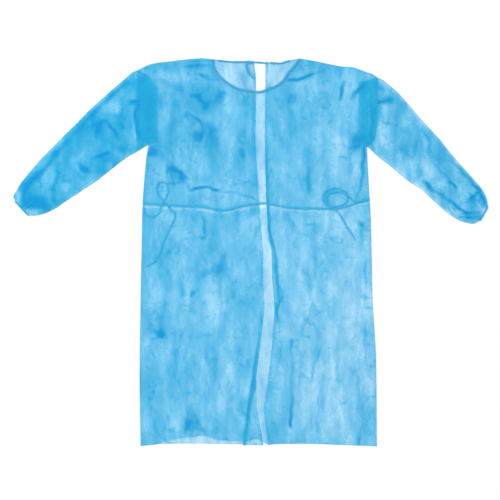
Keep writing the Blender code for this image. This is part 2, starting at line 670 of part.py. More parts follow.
def main():
    clear_scene()
    group = bpy.data.collections.new("visitor_gown")
    bpy.context.scene.collection.children.link(group)
    left_back = add_back("back_panel_left", 1)
    right_back = add_back("back_panel_right", -1)
    front = add_front()
    add_sleeve("sleeve_left", LEFT_SLEEVE, LEFT_SLEEVE_FOLDS)
    add_sleeve("sleeve_right", RIGHT_SLEEVE, RIGHT_SLEEVE_FOLDS)
    add_elastic("cuff_elastic_left", LEFT_SLEEVE)
    add_elastic("cuff_elastic_right", RIGHT_SLEEVE)
    bpy.context.view_layer.update()
    add_front_binding(front)
    left_binding = add_back_binding("neck_binding_back_left", LEFT_BACK_BINDING, left_back)
    right_binding = add_back_binding("neck_binding_back_right", RIGHT_BACK_BINDING, right_back)
    bpy.context.view_layer.update()
    under_tie = [left_back, right_back, left_binding, right_binding]
    add_strip("neck_tie", NECK_TIE_LINE, TIE_WIDTH, under_tie, BINDING_BLUE)
    belt = add_strip("waist_belt", BELT_LINE, BELT_WIDTH, [front], DEEP_BLUE)
    bpy.context.view_layer.update()
    add_strip("waist_tie_left", LEFT_TIE_LINE, TIE_WIDTH, [front, belt], DEEP_BLUE)
    add_strip("waist_tie_right", RIGHT_TIE_LINE, TIE_WIDTH, [front, belt], DEEP_BLUE)


main()
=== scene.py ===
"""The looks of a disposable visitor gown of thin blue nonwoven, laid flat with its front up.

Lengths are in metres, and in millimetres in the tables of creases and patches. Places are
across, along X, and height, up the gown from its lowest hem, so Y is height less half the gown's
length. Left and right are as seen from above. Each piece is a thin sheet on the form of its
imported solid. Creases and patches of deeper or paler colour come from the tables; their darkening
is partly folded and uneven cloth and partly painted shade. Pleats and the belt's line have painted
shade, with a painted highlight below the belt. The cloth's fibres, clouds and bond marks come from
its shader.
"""

import math
from collections import namedtuple

import bpy
import numpy as np
from bpy.props import FloatProperty, FloatVectorProperty, IntProperty, PointerProperty
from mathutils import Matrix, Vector, noise
from mathutils.bvhtree import BVHTree


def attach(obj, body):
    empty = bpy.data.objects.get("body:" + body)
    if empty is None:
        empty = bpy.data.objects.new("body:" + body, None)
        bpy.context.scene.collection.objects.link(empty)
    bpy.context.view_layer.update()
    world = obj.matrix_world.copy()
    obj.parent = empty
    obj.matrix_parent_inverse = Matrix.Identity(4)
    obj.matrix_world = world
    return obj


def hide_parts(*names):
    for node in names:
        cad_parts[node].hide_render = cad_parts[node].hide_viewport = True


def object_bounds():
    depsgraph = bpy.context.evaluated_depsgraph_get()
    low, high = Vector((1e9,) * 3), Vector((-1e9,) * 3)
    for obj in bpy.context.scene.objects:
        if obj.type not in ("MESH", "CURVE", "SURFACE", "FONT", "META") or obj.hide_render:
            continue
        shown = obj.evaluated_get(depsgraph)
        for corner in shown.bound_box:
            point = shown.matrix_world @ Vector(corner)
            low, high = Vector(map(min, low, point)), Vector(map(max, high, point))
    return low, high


bl_info = {
    "name": "Visitor gown",
    "version": (1, 0, 0),
    "blender": (4, 5, 0),
    "location": "3D View > Sidebar > Gown",
    "description": "Dresses a packed visitor gown in thin blue nonwoven, laid flat",
    "category": "Object",
}

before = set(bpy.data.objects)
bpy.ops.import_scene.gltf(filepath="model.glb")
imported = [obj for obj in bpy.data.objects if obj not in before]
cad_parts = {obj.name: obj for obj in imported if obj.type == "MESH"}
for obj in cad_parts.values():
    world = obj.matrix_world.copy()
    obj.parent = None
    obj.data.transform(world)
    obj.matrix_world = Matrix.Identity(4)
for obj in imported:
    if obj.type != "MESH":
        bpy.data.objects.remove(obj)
packed_low, packed_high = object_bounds()
GOWN_LENGTH = packed_high.y - packed_low.y

Edge = namedtuple("Edge", "height across")
Top = namedtuple("Top", "across height")
Opening = namedtuple("Opening", "height left right left_turn right_turn left_deep right_deep")
Cut = namedtuple("Cut", "top_across top_height under_across under_height base crown gathered")
Crease = namedtuple("Crease", "width lift shade line")
Patch = namedtuple("Patch", "across height wide tall shade")

WALL = 0.0010
LAYER = 0.0013
LOOK_FROM = 0.10
FLOOR_HEIGHT = -0.0003

# How the panels and sleeves are divided, and how their edges are kept plain.
BACK_CELLS = 1.25
BACK_WIDTH = 0.36
ROUND_STEPS = 5
TURNED_STEPS = 12
STATIONS_A_CUT = 11
SLEEVE_POINTS = 77
CUFF_POINTS = 61
FRONT_SOFTENING = 36
DARK_EDGE = 0.0045
PLAIN_EDGE = 0.020
DROPPED_EDGE = 0.006
SMALL_PATCH = 0.045
EDGE_PIECES = 90

# Strips and sewing: sections are across the strip and up, and stitches along, thick and up.
STRIP_STEP = 0.0030
BINDING_STEP = 0.0025
SEAM_STEP = 0.004
STRIP_SLOPE = 0.16
STRIP_SECTION = (
    (-0.50, 0.05), (0.0, 0.0), (0.47, 0.05), (0.50, 0.5), (0.47, 0.95), (0.25, 1.1), (0.0, 1.12),
    (-0.25, 1.05), (-0.49, 0.75),
)
STITCH_SIDES = 6
STITCH_PROFILE = (
    (-0.5, 0.25, -0.8), (-0.36, 0.85, -0.1), (0.0, 1.0, 0.25), (0.36, 0.85, -0.1), (0.5, 0.25, -0.8),
)


def crease_rows(*rows):
    """Creases, from rows with their width, lift and line in millimetres."""
    return [Crease(width / 1000, lift / 1000, shade, [(a / 1000, h / 1000) for a, h in line])
            for width, lift, shade, *line in rows]


def patch_rows(*rows):
    """Patches, from rows with their place and size in millimetres."""
    return [Patch(*(length / 1000 for length in row[:4]), row[4]) for row in rows]


# The outline: sides, armholes, shoulders, necklines and hems.
LEFT_SIDE = [
    Edge(0.000, -0.3286), Edge(0.196, -0.3315), Edge(0.433, -0.3286), Edge(0.581, -0.3256),
    Edge(0.714, -0.3226), Edge(0.848, -0.3123), Edge(0.892, -0.3048),
]
RIGHT_SIDE = [
    Edge(0.000, 0.3718), Edge(0.255, 0.3695), Edge(0.344, 0.3650), Edge(0.433, 0.3591),
    Edge(0.581, 0.3561), Edge(0.685, 0.3532), Edge(0.788, 0.3472), Edge(0.886, 0.3413),
]
LEFT_ARMHOLE = [
    Edge(0.892, -0.3048), Edge(0.913, -0.3345), Edge(0.951, -0.3389), Edge(1.026, -0.3404),
    Edge(1.113, -0.3404),
]
RIGHT_ARMHOLE = [
    Edge(0.886, 0.3413), Edge(0.907, 0.3650), Edge(0.951, 0.3710), Edge(1.026, 0.3739),
    Edge(1.092, 0.3739),
]
LEFT_SHOULDER = [
    Top(-0.3404, 1.113), Top(-0.2989, 1.132), Top(-0.2396, 1.141), Top(-0.1507, 1.150),
    Top(-0.1137, 1.147),
]
FRONT_NECK = [
    Top(-0.1137, 1.147), Top(-0.1077, 1.120), Top(-0.0885, 1.094), Top(-0.0618, 1.073),
    Top(-0.0351, 1.060), Top(0.0049, 1.053), Top(0.0259, 1.052), Top(0.0479, 1.060),
    Top(0.0716, 1.069), Top(0.0923, 1.084), Top(0.1101, 1.110), Top(0.1267, 1.129),
    Top(0.1412, 1.149),
]
RIGHT_SHOULDER = [
    Top(0.1412, 1.149), Top(0.1753, 1.144), Top(0.2050, 1.138), Top(0.2346, 1.132),
    Top(0.2642, 1.126), Top(0.2998, 1.123), Top(0.3413, 1.1085), Top(0.3590, 1.103),
    Top(0.3739, 1.092),
]
BACK_NECK = [
    Top(-0.1137, 1.147), Top(-0.0530, 1.141), Top(-0.0010, 1.1425), Top(0.0430, 1.1395),
    Top(0.0860, 1.137), Top(0.1100, 1.144), Top(0.1412, 1.149),
]
FRONT_HEM = [
    Top(-0.3286, 0.002), Top(-0.2840, 0.005), Top(-0.2604, 0.014), Top(-0.1774, 0.028),
    Top(-0.1330, 0.030), Top(-0.1003, 0.019), Top(-0.0300, 0.015), Top(-0.0120, 0.0155),
    Top(0.0000, 0.0200), Top(0.0190, 0.0205), Top(0.0330, 0.014), Top(0.0460, 0.0068),
    Top(0.0716, 0.007), Top(0.1753, 0.0075), Top(0.2790, 0.004), Top(0.3718, 0.000),
]
BACK_HEM = [
    Top(-0.3286, 0.000), Top(-0.2900, 0.006), Top(-0.1770, 0.008), Top(-0.0320, 0.006),
    Top(0.0300, 0.003), Top(0.0860, 0.007), Top(0.1750, 0.0075), Top(0.2640, 0.004),
    Top(0.3718, 0.000),
]
# Where each back panel ends, how far its edge is turned over, and how deep its colour is there.
BACK_OPENING = [
    Opening(0.000, 0.0360, 0.0480, 0.060, 0.006, 0.3, -1.0),
    Opening(0.038, 0.0290, 0.0430, 0.048, 0.006, 0.3, -1.0),
    Opening(0.110, 0.0165, 0.0350, 0.028, 0.006, 0.3, -1.0),
    Opening(0.202, 0.0140, 0.0490, 0.011, 0.006, 1.5, -1.0),
    Opening(0.296, 0.0259, 0.0600, 0.009, 0.006, 0.8, -1.0),
    Opening(0.385, 0.0370, 0.0665, 0.008, 0.007, -0.4, -0.8),
    Opening(0.415, 0.0402, 0.0675, 0.006, 0.014, -1.0, 0.2),
    Opening(0.486, 0.0354, 0.0612, 0.006, 0.016, -1.0, 0.2),
    Opening(0.581, 0.0354, 0.0585, 0.006, 0.010, -1.0, 0.3),
    Opening(0.640, 0.0300, 0.0480, 0.006, 0.006, -1.0, 0.6),
    Opening(0.738, 0.0230, 0.0428, 0.006, 0.007, -0.9, 0.5),
    Opening(0.907, 0.0123, 0.0390, 0.006, 0.006, -0.8, -0.5),
    Opening(1.070, 0.0141, 0.0408, 0.006, 0.006, -0.3, -0.6),
    Opening(1.150, 0.0022, 0.0419, 0.006, 0.006, -0.2, 0.0),
]
# Cuts across the sleeves, from the head under the front to the cuff.
LEFT_SLEEVE = [
    Cut(-0.2780, 1.063, -0.2780, 0.906, LAYER, 0.0000, 0.0),
    Cut(-0.3090, 1.100, -0.3070, 0.894, LAYER, 0.0000, 0.0),
    Cut(-0.3435, 1.112, -0.3435, 0.871, LAYER, 0.0002, 0.0),
    Cut(-0.3760, 1.088, -0.3640, 0.860, 0.0, 0.0016, 0.0),
    Cut(-0.4110, 1.058, -0.3940, 0.838, 0.0, 0.0018, 0.0),
    Cut(-0.4470, 1.026, -0.4290, 0.810, 0.0, 0.0019, 0.0),
    Cut(-0.4830, 0.993, -0.4650, 0.782, 0.0, 0.0020, 0.0),
    Cut(-0.5180, 0.957, -0.4950, 0.763, 0.0, 0.0020, 0.0),
    Cut(-0.5540, 0.922, -0.5210, 0.745, 0.0, 0.0020, 0.0),
    Cut(-0.5890, 0.886, -0.5480, 0.728, 0.0, 0.0020, 0.0),
    Cut(-0.6250, 0.850, -0.5720, 0.711, 0.0, 0.0020, 0.0),
    Cut(-0.6600, 0.809, -0.5830, 0.704, 0.0, 0.0020, 0.0),
    Cut(-0.6840, 0.779, -0.6020, 0.695, 0.0, 0.0019, 0.2),
    Cut(-0.6960, 0.758, -0.6200, 0.688, 0.0, 0.0018, 0.5),
    Cut(-0.7050, 0.742, -0.6400, 0.684, 0.0, 0.0016, 0.8),
    Cut(-0.7010, 0.729, -0.6590, 0.684, 0.0, 0.0014, 1.0),
]
RIGHT_SLEEVE = [
    Cut(0.3170, 1.078, 0.3170, 0.906, LAYER, 0.0000, 0.0),
    Cut(0.3420, 1.084, 0.3430, 0.889, LAYER, 0.0000, 0.0),
    Cut(0.3770, 1.091, 0.3770, 0.857, LAYER, 0.0002, 0.0),
    Cut(0.4070, 1.071, 0.4010, 0.839, 0.0, 0.0018, 0.0),
    Cut(0.4360, 1.046, 0.4250, 0.820, 0.0, 0.0018, 0.0),
    Cut(0.4660, 1.012, 0.4510, 0.797, 0.0, 0.0020, 0.0),
    Cut(0.4950, 0.978, 0.4790, 0.777, 0.0, 0.0020, 0.0),
    Cut(0.5250, 0.945, 0.5060, 0.760, 0.0, 0.0020, 0.0),
    Cut(0.5550, 0.913, 0.5310, 0.736, 0.0, 0.0020, 0.0),
    Cut(0.5810, 0.880, 0.5550, 0.714, 0.0, 0.0020, 0.0),
    Cut(0.6080, 0.848, 0.5790, 0.693, 0.0, 0.0020, 0.0),
    Cut(0.6350, 0.818, 0.6020, 0.677, 0.0, 0.0020, 0.1),
    Cut(0.6610, 0.788, 0.6230, 0.667, 0.0, 0.0019, 0.3),
    Cut(0.6830, 0.762, 0.6440, 0.661, 0.0, 0.0018, 0.6),
    Cut(0.6970, 0.736, 0.6610, 0.660, 0.0, 0.0016, 0.8),
    Cut(0.7006, 0.713, 0.6746, 0.668, 0.0, 0.0014, 1.0),
]
# The lines of the strips, and the ends of the back bindings.
BELT_LINE = [
    Top(-0.3185, 0.719), Top(-0.1993, 0.712), Top(-0.1507, 0.710), Top(-0.0805, 0.700),
    Top(-0.0322, 0.711), Top(0.0360, 0.720), Top(0.1101, 0.708), Top(0.1812, 0.705),
    Top(0.2524, 0.705), Top(0.3087, 0.720), Top(0.3472, 0.732),
]
LEFT_TIE_LINE = [
    Top(-0.3190, 0.7060), Top(-0.3150, 0.6900), Top(-0.3030, 0.6810), Top(-0.2880, 0.6810),
    Top(-0.2740, 0.6920), Top(-0.2660, 0.7150), Top(-0.2530, 0.7380), Top(-0.2470, 0.7620),
    Top(-0.2580, 0.7830), Top(-0.2760, 0.7790), Top(-0.2810, 0.7590), Top(-0.2690, 0.7370),
    Top(-0.2540, 0.7190), Top(-0.2390, 0.7030), Top(-0.2270, 0.6860), Top(-0.2310, 0.6680),
    Top(-0.2417, 0.6460), Top(-0.2604, 0.6040), Top(-0.2734, 0.5690), Top(-0.2921, 0.5430),
    Top(-0.3108, 0.5330),
]
RIGHT_TIE_LINE = [
    Top(0.3472, 0.7300), Top(0.3250, 0.7270), Top(0.3030, 0.7270), Top(0.2860, 0.7440),
    Top(0.2660, 0.7620), Top(0.2420, 0.7640), Top(0.2200, 0.7560), Top(0.2110, 0.7360),
    Top(0.2210, 0.7170), Top(0.2420, 0.7110), Top(0.2660, 0.7140), Top(0.2820, 0.7260),
    Top(0.2830, 0.7430), Top(0.2680, 0.7530), Top(0.2440, 0.7540), Top(0.2270, 0.7470),
    Top(0.2210, 0.7310), Top(0.2300, 0.7120), Top(0.2480, 0.7010), Top(0.2610, 0.6880),
    Top(0.2760, 0.6620), Top(0.2940, 0.6330), Top(0.3080, 0.6110),
]
NECK_TIE_LINE = [
    Top(0.0500, 1.1340), Top(0.0250, 1.1370), Top(0.0000, 1.1370), Top(-0.0150, 1.1300),
    Top(-0.0110, 1.1120), Top(-0.0010, 1.0980), Top(0.0060, 1.0900),
]
LEFT_BACK_BINDING = (-0.0980, -0.0040)
RIGHT_BACK_BINDING = (0.0560, 0.1140)

# Creases: how wide, how far they lift the cloth and deepen its colour, and the line they follow.
# Their deeper colour is partly the folded cloth's and partly painted shade.
# Patches: where, how wide and tall, and how far they deepen the cloth's colour, or pale it.
FRONT_CREASES = crease_rows(
    (6, 1.2, 1.3, (-198, 1126), (-160, 1130), (-127, 1131)),
    (3.5, 0.5, 0.8, (-186, 1141), (-121, 1142)),
    (7, 1.2, 1.5, (-157, 1104), (-121, 1092)),
    (4, 0.6, 0.8, (-121, 1091), (-89, 1087)),
    (6, 0.8, 0.6, (-198, 1108), (-174, 1102)),
    (10, 1, 0.6, (-293, 1084), (-254, 1077), (-207, 1058)),
    (10, 1, 0.7, (-122, 1140), (-114, 1108)),
    (7, 0.8, 0.6, (-116, 1110), (-94, 1084)),
    (5, 1.6, 3.4, (104, 1086), (137, 1088), (158, 1095), (184, 1106)),
    (6, 0.8, 0.6, (184, 1106), (210, 1109)),
    (8, 1, 0.7, (144, 1140), (140, 1108)),
    (5.2, 1.4, 3.3, (274, 1082), (270, 1060), (262, 1026)),
    (4, 0.6, 0.5, (271, 1106), (274, 1084)),
    (7, 1.4, 2.0, (331, 1074), (309, 1049), (300, 1031)),
    (8, 0.8, 0.6, (160, 1083), (161, 1018)),
    (6, 1.4, 2.2, (-180, 1040), (-156, 1039), (-143, 1018)),
    (4.5, 1.4, 1.9, (-180, 981), (-157, 963), (-145, 946)),
    (6, 1, 1.0, (-145, 946), (-148, 907)),
    (6, 0.8, 0.7, (-180, 978), (-181, 930)),
    (4, 0.5, 0.5, (-174, 889), (-142, 889)),
    (7, 1.2, 1.2, (-246, 828), (-221, 824), (-203, 803)),
    (4, 0.8, 1.0, (-200, 805), (-178, 789)),
    (4.5, 0.6, 0.8, (-254, 778), (-210, 780)),
    (5, 0.8, 0.7, (-200, 792), (-186, 755)),
    (6, 0.6, -0.6, (-278, 892), (-252, 863)),
    (10, 1.2, 0.4, (-300, 892), (-190, 795)),
    (4.2, 1.4, 3.4, (-180, 759), (-163, 765), (-145, 768), (-126, 769)),
    (4.5, 1.3, 2.6, (-126, 768), (-118, 760), (-94, 760)),
    (4, 1.2, 1.2, (-88, 757), (-50, 754)),
    (3.8, 1.2, 1.4, (-42, 753), (-20, 746), (0, 739), (21, 729)),
    (4.2, 1, 1.6, (279, 885), (318, 886)),
    (4.5, 0.6, 0.5, (229, 893), (250, 896), (276, 890)),
    (12, 1.4, 0.4, (255, 886), (325, 916)),
    (8, 1.2, 1.3, (168, 822), (170, 790), (172, 760)),
    (6, 1.2, 2.0, (332, 883), (332, 848), (328, 803), (320, 765), (316, 741)),
    (10, 0.8, 0.3, (150, 1010), (140, 860)),
    (6, 0.6, 1.4, (223, 754), (274, 757)),
    (6, 0.6, 1.2, (222, 754), (222, 722)),
    (5, 0.6, 0.9, (276, 754), (296, 728)),
    (5, 1, 1.6, (-142, 682), (-143, 650), (-141, 617)),
    (4, 0.5, 0.6, (-210, 616), (-155, 617)),
    (4.2, 0.8, 1.6, (-154, 617), (-141, 617)),
    (4.5, 0.6, 0.7, (-91, 502), (-92, 440), (-90, 378)),
    (5, 0.8, 1.2, (-299, 317), (-275, 324)),
    (5, 0.6, 0.9, (-151, 329), (-115, 329)),
    (3.8, 0.5, 0.8, (-77, 324), (-11, 320)),
    (5.5, 0.6, 0.5, (-111, 245), (-109, 187)),
    (6, 0.8, 0.6, (-180, 124), (-139, 36)),
    (6, 0.6, 0.4, (-180, 124), (-199, 50)),
    (9, 0.8, 0.3, (-270, 560), (-215, 440)),
    (8, 0.7, 0.2, (-60, 300), (-30, 120)),
    (9, 0.8, 0.2, (-250, 300), (-200, 120)),
    (14, 0.8, 0.3, (-325, 360), (-262, 330)),
    (10, 0.9, 0.2, (-120, 640), (-105, 380)),
    (10, 0.8, 0.3, (-330, 700), (-246, 640)),
    (4.2, 0.8, 1.4, (158, 658), (186, 658)),
    (6, 0.6, 0.5, (124, 596), (127, 520), (125, 430)),
    (12, 0.9, 0.3, (175, 610), (184, 350)),
    (6, 0.9, 0.5, (166, 418), (146, 344), (131, 300)),
    (6, 0.9, 0.5, (181, 385), (202, 314)),
    (6, 1, 1.5, (119, 318), (119, 240), (118, 140)),
    (4.8, 1.4, 2.6, (118, 145), (117, 100), (116, 55)),
    (5.5, 1.2, 1.6, (214, 314), (202, 293), (196, 270), (187, 246), (178, 219), (175, 193)),
    (7, 1, 0.9, (190, 308), (197, 283)),
    (5.5, 0.7, 0.5, (147, 300), (143, 250), (137, 202)),
    (8, 0.9, 0.9, (208, 212), (209, 150), (207, 80)),
    (4.5, 0.6, 0.6, (325, 611), (318, 563)),
    (4.5, 0.8, 1.4, (338, 548), (338, 466)),
    (4, 0.5, 0.8, (350, 522), (351, 462)),
    (4.8, 1, 2.0, (334, 362), (337, 310), (336, 240)),
    (4.5, 0.5, 0.8, (88, 313), (142, 315)),
    (5, 0.5, 0.5, (150, 196), (218, 198), (282, 195)),
    (7, 0.6, 0.6, (168, 408), (152, 352), (140, 310)),
    (6, 0.6, 0.8, (333, 240), (329, 150), (327, 80)),
    (4.5, 0.7, 0.9, (325, 85), (321, 40), (319, 3)),
    (5, 0.5, 0.5, (307, 465), (300, 446)),
    (8, 0.7, 0.2, (240, 640), (255, 430)),
    (9, 0.8, 0.2, (250, 240), (270, 60)),
    (5.5, 0.3, 4.0, (-338, 1022), (-339, 960), (-336, 908)),
    (5, 0.3, 1.6, (356, 1040), (357, 900)),
    (4, 0.3, -1.6, (344, 1010), (344, 950)),
    (14, 0.5, 0.4, (-300, 1070), (-304, 920)),
    (5, 0.9, 1.8, (12, 255), (6, 196), (0, 148), (-8, 113), (-13, 77), (-20, 33)),
    (4.5, 0.8, 1.8, (51, 661), (54, 625), (61, 587)),
    (5.2, 0.7, 0.9, (61, 587), (71, 545), (75, 500), (80, 445)),
    (4, 0.6, 1.7, (72, 427), (77, 415), (77, 370)),
    (4.2, 0.6, 0.8, (86, 439), (95, 418), (101, 397)),
    (3.5, 0.5, 0.8, (318, 330), (317, 200), (318, 80)),
)
FRONT_PATCHES = patch_rows(
    (-135, 1030, 66, 34, 0.7), (-160, 919, 16, 14, 1.2), (-154, 928, 34, 60, 0.25),
    (-131, 1011, 9, 9, 1.5), (-94, 1037, 14, 14, 1.1), (-195, 981, 8, 10, 1.2),
    (-222, 1012, 10, 12, 0.5), (-236, 950, 10, 50, 0.5), (-115, 918, 13, 36, 0.75),
    (-19, 1025, 10, 16, 1.0), (-26, 928, 8, 14, 0.8), (-25, 869, 7, 16, 1.1),
    (-29, 880, 26, 70, 0.2), (-292, 872, 13, 12, 1.5), (-299, 871, 30, 45, 0.3),
    (-236, 823, 12, 10, 0.7), (-222, 803, 22, 24, 1.0), (-207, 797, 8, 12, 1.2),
    (122, 1029, 13, 14, 0.9), (289, 1074, 10, 9, 0.7), (226, 1043, 10, 9, 0.5),
    (169, 766, 7, 12, 0.8), (169, 788, 22, 60, 0.25), (175, 860, 18, 26, 0.5),
    # (294, 874) is painted shadow below the crease across the right side at height 885.
    (294, 874, 16, 9, 0.7), (306, 905, 14, 22, 1.0), (332, 905, 34, 26, 0.9),
    (345, 1065, 22, 20, 0.7), (83, 925, 18, 40, 0.35), (130, 925, 12, 30, 0.35),
    (-270, 970, 30, 120, 0.15), (-320, 990, 30, 110, 0.35), (-245, 1128, 120, 16, 0.5),
    (230, 1118, 100, 14, 0.3), (-200, 960, 170, 200, 0.16), (243, 738, 28, 22, 0.45),
    (321, 735, 20, 22, 0.45), (-118, 645, 18, 34, 0.45), (-93, 538, 11, 36, 0.75),
    (-96, 519, 10, 12, 0.7), (-130, 516, 16, 10, 0.55), (-41, 682, 5, 20, 0.5),
    (-88, 691, 10, 10, 0.6), (-173, 454, 8, 10, 1.2), (-174, 425, 9, 40, 0.5),
    (-204, 451, 8, 8, 0.5), (-269, 335, 12, 9, 1.8), (-284, 360, 26, 34, 0.55),
    (-245, 477, 11, 24, 0.45), (-249, 572, 6, 8, 0.9), (-275, 569, 40, 50, 0.2),
    (111, 670, 14, 36, 0.5), (177, 640, 18, 24, 0.75), (154, 516, 7, 9, 0.7),
    (184, 421, 26, 50, 0.25), (327, 655, 6, 10, 1.2), (329, 625, 5, 12, 1.0),
    (329, 643, 30, 80, 0.2), (319, 15, 4, 14, 1.2), (-117, 255, 13, 12, 0.8),
    (-189, 219, 8, 24, 0.5), (-191, 154, 5, 7, 0.8), (-180, 101, 9, 16, 0.7),
    (-177, 64, 24, 20, 1.0), (-189, 65, 8, 22, 0.7), (-151, 47, 14, 10, 0.8),
    (-237, 47, 10, 8, 0.8), (-249, 83, 6, 10, 0.5), (-290, 92, 10, 34, 0.3),
    (-103, 50, 9, 14, 0.45), (-74, 50, 6, 12, 0.4), (116, 74, 4, 10, 1.5), (117, 304, 10, 10, 0.7),
    (46, 92, 12, 80, 0.3), (168, 90, 14, 30, 0.3), (-216, 1091, 60, 22, -0.6),
    (288, 1090, 50, 30, -0.35), (264, 901, 28, 14, -0.7), (276, 800, 60, 70, -0.5),
    (250, 830, 40, 50, -0.25), (95, 815, 12, 50, -0.4), (-136, 975, 20, 14, -0.6),
    (-68, 950, 30, 80, -0.6), (-260, 981, 24, 80, -0.45), (-228, 397, 14, 60, -0.6),
    (211, 1070, 60, 26, -0.4), (-275, 815, 30, 45, -0.35), (-59, 1014, 30, 34, -0.4),
    (-23, 600, 40, 55, -0.4), (-201, 640, 40, 36, -0.4), (291, 679, 50, 40, -0.4),
    (-71, 157, 50, 90, -0.55), (-189, 860, 36, 36, -0.35), (306, 415, 36, 70, -0.4),
    (243, 1011, 40, 40, -0.3), (-127, 433, 26, 50, -0.45), (306, 335, 40, 100, -0.7),
    (217, 845, 40, 50, -0.3), (-74, 791, 45, 36, -0.3), (-201, 919, 30, 40, -0.3),
    (303, 519, 36, 70, -0.3), (80, 652, 30, 60, -0.3), (-213, 522, 7, 34, -0.5),
    (-66, 507, 12, 20, -0.4), (178, 375, 16, 36, -0.45), (-70, 728, 70, 18, -0.35),
    (220, 300, 140, 420, -1.0), (240, 100, 60, 80, -0.25), (350, 330, 30, 300, -0.45),
    (220, 120, 110, 120, -0.25), (-180, 330, 170, 360, -0.42), (262, 960, 60, 50, -0.2),
    (27, 930, 13, 180, -0.35), (300, 640, 70, 100, -0.35), (-265, 1035, 12, 20, 0.45),
    (100, 560, 60, 200, -0.25),
)
BACK_CREASES = crease_rows(
    (12, 0.3, 0.3, (-240, 1060), (-180, 880)),
    (10, 0.3, 0.3, (-120, 820), (-90, 600)),
    (8, 0.3, 0.2, (-260, 700), (-110, 660)),
    (12, 0.3, 0.3, (-200, 520), (-230, 260)),
    (10, 0.3, 0.3, (-100, 360), (-120, 80)),
    (12, 0.3, 0.3, (120, 1020), (100, 800)),
    (12, 0.3, 0.3, (220, 860), (240, 640)),
    (10, 0.3, 0.2, (150, 560), (200, 320)),
    (12, 0.3, 0.3, (270, 380), (240, 100)),
    (10, 0.3, 0.6, (-12, 1112), (12, 1094)),
    (10, 0.3, 0.5, (-20, 1140), (-10, 1105)),
    (4.2, 0.2, 0.9, (6, 1055), (7, 883)),
    (4.8, 0.2, 1.1, (46, 885), (46, 790), (48, 714), (51, 634)),
    (4.8, 0.2, 0.8, (52, 625), (66, 575), (72, 545), (76, 492), (80, 448)),
    (5, 0.2, 1.2, (63, 427), (76, 412), (74, 368)),
    (5, 0.2, 0.9, (89, 442), (77, 412)),
    (10, 0.3, 0.5, (15, 534), (-2, 486)),
    (4.5, 0.2, 1.3, (28, 392), (27, 357)),
)
BACK_PATCHES = patch_rows(
    # (-20, 1080) deepens the back in the neck opening as painted shade.
    (-60, 1110, 50, 30, -0.05), (90, 1110, 50, 34, -0.05), (-20, 1080, 20, 30, 0.2),
    (-130, 14, 110, 16, -0.25), (0, 692, 12, 14, 0.9), (18, 643, 9, 9, 0.5),
    # (-20, 122) is painted shadow beside the dark fold near the opening's low end.
    (-20, 122, 16, 26, 0.6), (-23, 225, 22, 26, 0.35), (14, 70, 14, 60, -0.6),
)
LEFT_SLEEVE_CREASES = crease_rows(
    (6, 1, 1.2, (-367, 1083), (-409, 1045), (-447, 1010)),
    (7, 1.2, 1.5, (-447, 1010), (-486, 969)),
    (7, 1, 0.7, (-486, 969), (-530, 924)),
    (8, 1, 1.0, (-536, 912), (-560, 889), (-577, 869)),
    (7.5, 1.2, 1.4, (-577, 869), (-595, 845), (-622, 815)),
    (9, 1.4, 2.1, (-622, 815), (-643, 794), (-664, 777)),
    (7, 1.2, 1.6, (-664, 777), (-674, 757), (-680, 738)),
    (5.5, 0.9, 0.9, (-575, 839), (-578, 794), (-588, 745)),
    (4.5, 1.2, 2.0, (-474, 853), (-447, 861), (-423, 871)),
    (4.5, 1.2, 2.0, (-438, 966), (-411, 937), (-391, 910)),
    (6, 1, 1.2, (-438, 966), (-465, 950)),
    (7, 0.9, 0.8, (-452, 960), (-458, 910)),
    (6.5, 1, 1.6, (-512, 843), (-497, 826), (-486, 821)),
    (6, 1, 2.6, (-360, 1020), (-336, 1020)),
    (4.5, 0.2, 3.0, (-341, 1024), (-342, 960), (-340, 910)),
    (12, 1.4, 2.2, (-674, 722), (-643, 722), (-618, 712), (-605, 699)),
    (6, 0.8, 1.0, (-687, 708), (-643, 712)),
    (9, 1, 0.4, (-380, 920), (-350, 870)),
    (9, 1, 0.4, (-560, 850), (-500, 790)),
    (4, 0.2, 0.9, (-322, 1078), (-320, 905)),
    (3.5, 0.2, -0.6, (-313, 1050), (-314, 930)),
    (3, 0.2, -0.7, (-300, 1060), (-301, 920)),
    (3, 0.2, 0.5, (-293, 1040), (-291, 910)),
)
LEFT_SLEEVE_PATCHES = patch_rows(
    (-655, 755, 24, 36, 0.8), (-642, 726, 34, 16, 0.9), (-637, 803, 14, 12, 0.9),
    (-577, 870, 10, 10, 1.4), (-586, 732, 8, 10, 1.4), (-586, 762, 8, 7, 0.7),
    (-436, 858, 22, 16, 0.8), (-452, 948, 16, 28, 0.8), (-475, 945, 28, 14, 0.6),
    (-492, 821, 11, 8, 2.0), (-506, 806, 14, 18, 0.5), (-409, 833, 7, 8, 1.2),
    (-376, 883, 9, 8, 0.9), (-394, 977, 20, 6, 0.7), (-388, 951, 8, 14, 0.7),
    (-551, 788, 10, 6, 0.7), (-598, 803, 16, 34, -0.6), (-492, 877, 16, 30, -0.8),
    (-409, 1005, 38, 18, -0.7), (-370, 1049, 24, 18, -0.6), (-424, 830, 14, 10, -0.6),
    (-394, 862, 16, 14, -0.6), (-343, 937, 12, 30, -0.7), (-536, 757, 34, 18, -0.7),
    (-462, 792, 34, 18, -0.6), (-545, 835, 20, 24, -0.3), (-652, 697, 28, 10, -1.4),
    (-692, 730, 9, 22, -1.5), (-287, 1084, 15, 16, -3.2), (-331, 1101, 10, 12, -2.4),
    (-308, 1010, 6, 30, -0.6), (-296, 950, 5, 30, -0.5), (-325, 930, 6, 20, 0.6),
)
